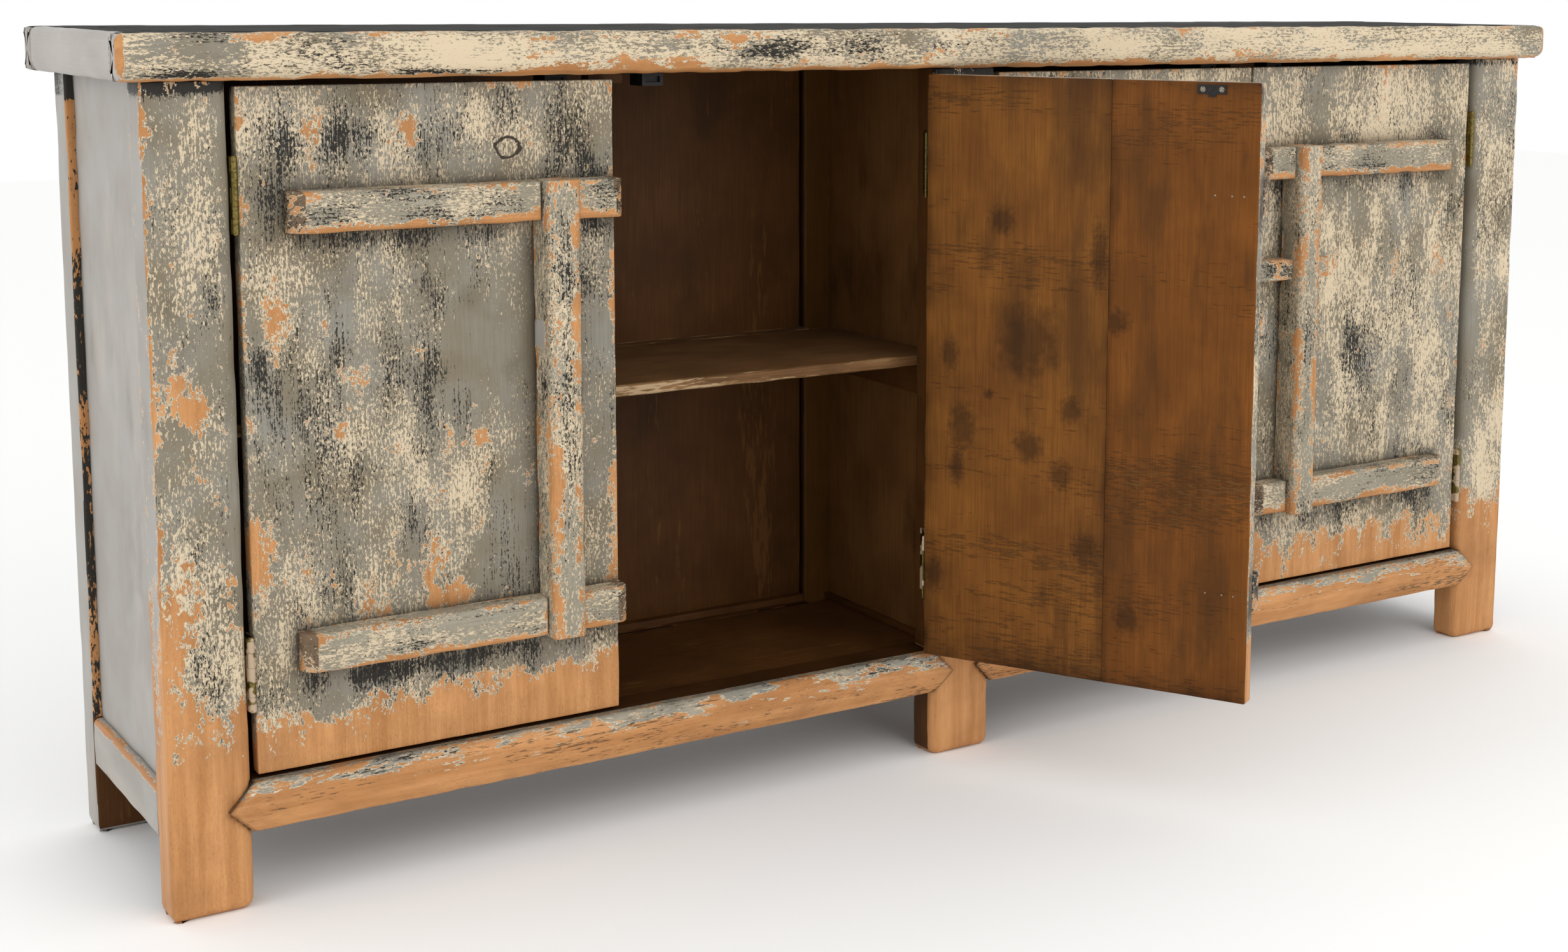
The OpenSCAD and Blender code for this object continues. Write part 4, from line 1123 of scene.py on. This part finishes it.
def roundHeads(centres, radius, height, slot):
    # closed domes: a square lattice pressed to a disc, bulging toward +y, with a cross cut slot wide
    cells = headShape["cells"]
    line = np.linspace(-1, 1, cells + 1)
    u, v = np.meshgrid(line, line, indexing="ij")
    x, z = u * np.sqrt(1 - v ** 2 / 2), v * np.sqrt(1 - u ** 2 / 2)
    rise = np.sqrt(np.clip(headShape["crown"] - x ** 2 - z ** 2, 0, 1))
    arm = (np.minimum(np.abs(x), np.abs(z)) < slot) & (np.hypot(x, z) < headShape["slotReach"])
    rise = rise - headShape["slotDepth"] * arm
    dome = np.stack([x * radius, rise * height, z * radius], -1).reshape(-1, 3)
    base = dome * [1, 0, 1] - [0, headShape["root"] * height, 0]
    index = np.arange(len(dome)).reshape(cells + 1, cells + 1)
    here = index[:-1, :-1].ravel()
    front = np.stack([here, here + 1, here + cells + 2, here + cells + 1], 1)
    rim = np.concatenate([index[0, :-1], index[:-1, -1], index[-1, :0:-1], index[:0:-1, 0]])
    ahead = np.roll(rim, -1)
    side = np.stack([rim, rim + len(dome), ahead + len(dome), ahead], 1)
    quads = np.concatenate([front, front[:, ::-1] + len(dome), side])
    points = np.concatenate([np.concatenate([dome, base]) + centre for centre in centres])
    faces = np.concatenate([quads + 2 * len(dome) * i for i in range(len(centres))])
    return points, faces


def addHeads(name, node, centres, radius, height, slot=0):
    points, faces = roundHeads(centres, radius, height, slot)
    mesh = bpy.data.meshes.new(name)
    mesh.from_pydata(toRest(points, node).tolist(), [], faces.tolist())
    mesh.materials.append(nailSteel)
    mesh.polygons.foreach_set("use_smooth", [True] * len(faces))
    mesh.update()
    piece = bpy.data.objects.new(name, mesh)
    bpy.context.scene.collection.objects.link(piece)
    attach(piece, bodyOf[node])


nails = {"across": (0.362, 0.382, 0.396), "heights": (0.264, 0.720), "sunk": 0.0002, "radius": 0.0012,
         "height": 0.0004}
screws = {"inset": 0.006, "drop": 0.00525, "sunk": 0.0003, "radius": 0.0032, "height": 0.0007, "slot": 0.16}
for number in (1, 2, 3, 4):
    node = f"door_{number}_wide_board"
    low, high = shutBoxes(node)[0]
    hingeSide = 1 if number % 2 else -1
    hingeEdge = low[0] if hingeSide > 0 else high[0]
    heads = [(hingeEdge + hingeSide * across, high[1] - nails["sunk"], height)
             for across in nails["across"] for height in nails["heights"]]
    addHeads(f"door_{number}_nails", node, heads, nails["radius"], nails["height"])
    node = f"door_{number}_strike"
    low, high = shutBoxes(node)[0]
    heads = [(x, high[1] - screws["sunk"], high[2] - screws["drop"])
             for x in (low[0] + screws["inset"], high[0] - screws["inset"])]
    addHeads(node + "_screws", node, heads, screws["radius"], screws["height"], screws["slot"])
print("metal done")


# Studio

cameraAt = {
    "x": -1.5499, "y": -2.2143, "z": 0.9464, "yaw": 33.97, "pitch": -8.04, "roll": 0.4,
    "lens": 51.02, "shiftX": -0.0844, "shiftY": -0.1108,
}
yaw, pitch, roll = (math.radians(cameraAt[key]) for key in ("yaw", "pitch", "roll"))
forward = Vector((math.sin(yaw) * math.cos(pitch), math.cos(yaw) * math.cos(pitch), math.sin(pitch)))
level = Vector((math.cos(yaw), -math.sin(yaw), 0))
upright = level.cross(forward)
right = level * math.cos(roll) + upright * math.sin(roll)
up = upright * math.cos(roll) - level * math.sin(roll)
lens = bpy.data.cameras.new("camera")
lens.lens, lens.shift_x, lens.shift_y = (cameraAt[key] for key in ("lens", "shiftX", "shiftY"))
camera = bpy.data.objects.new("camera", lens)
camera.matrix_world = Matrix((
    (right.x, up.x, -forward.x, cameraAt["x"]),
    (right.y, up.y, -forward.y, cameraAt["y"]),
    (right.z, up.z, -forward.z, cameraAt["z"]),
    (0, 0, 0, 1)))
bpy.context.scene.collection.objects.link(camera)
bpy.context.scene.camera = camera

floorLook = {"reach": 9.0, "colour": "#fbfbfa", "roughness": 0.9}
floorMesh = bpy.data.meshes.new("studio floor")
reach = floorLook["reach"]
corners = [(-reach, -reach, 0), (reach, -reach, 0), (reach, reach, 0), (-reach, reach, 0)]
floorMesh.from_pydata(corners, [], [(0, 1, 2, 3)])
studioFloor = bpy.data.objects.new("studio_floor", floorMesh)
bpy.context.scene.collection.objects.link(studioFloor)
floorPaint, tree, shader = newFinish("white paper floor")
shader.inputs["Base Color"].default_value = linearColour(floorLook["colour"])
shader.inputs["Roughness"].default_value = floorLook["roughness"]
floorMesh.materials.append(floorPaint)

world = bpy.data.worlds.new("studio")
bpy.context.scene.world = world
world.use_nodes = True
world.node_tree.nodes["Background"].inputs["Color"].default_value = linearColour("#ffffff")
world.node_tree.nodes["Background"].inputs["Strength"].default_value = 1.0
lights = {
    "front softbox": {"at": (0.6, -3.8, 2.3), "to": (0, 0, 0.5), "size": 3.0, "watts": 52},
    "left softbox": {"at": (-3.6, -0.6, 1.6), "to": (-0.9, 0.1, 0.5), "size": 2.0, "watts": 12},
}
for name, look in lights.items():
    data = bpy.data.lights.new(name, "AREA")
    data.shape, data.size, data.size_y, data.energy = "RECTANGLE", look["size"], look["size"], look["watts"]
    lamp = bpy.data.objects.new(name, data)
    lamp.location = look["at"]
    lamp.rotation_euler = (Vector(look["to"]) - Vector(look["at"])).to_track_quat("-Z", "Y").to_euler()
    bpy.context.scene.collection.objects.link(lamp)
bpy.context.scene.view_settings.view_transform = "Standard"
print("studio done")
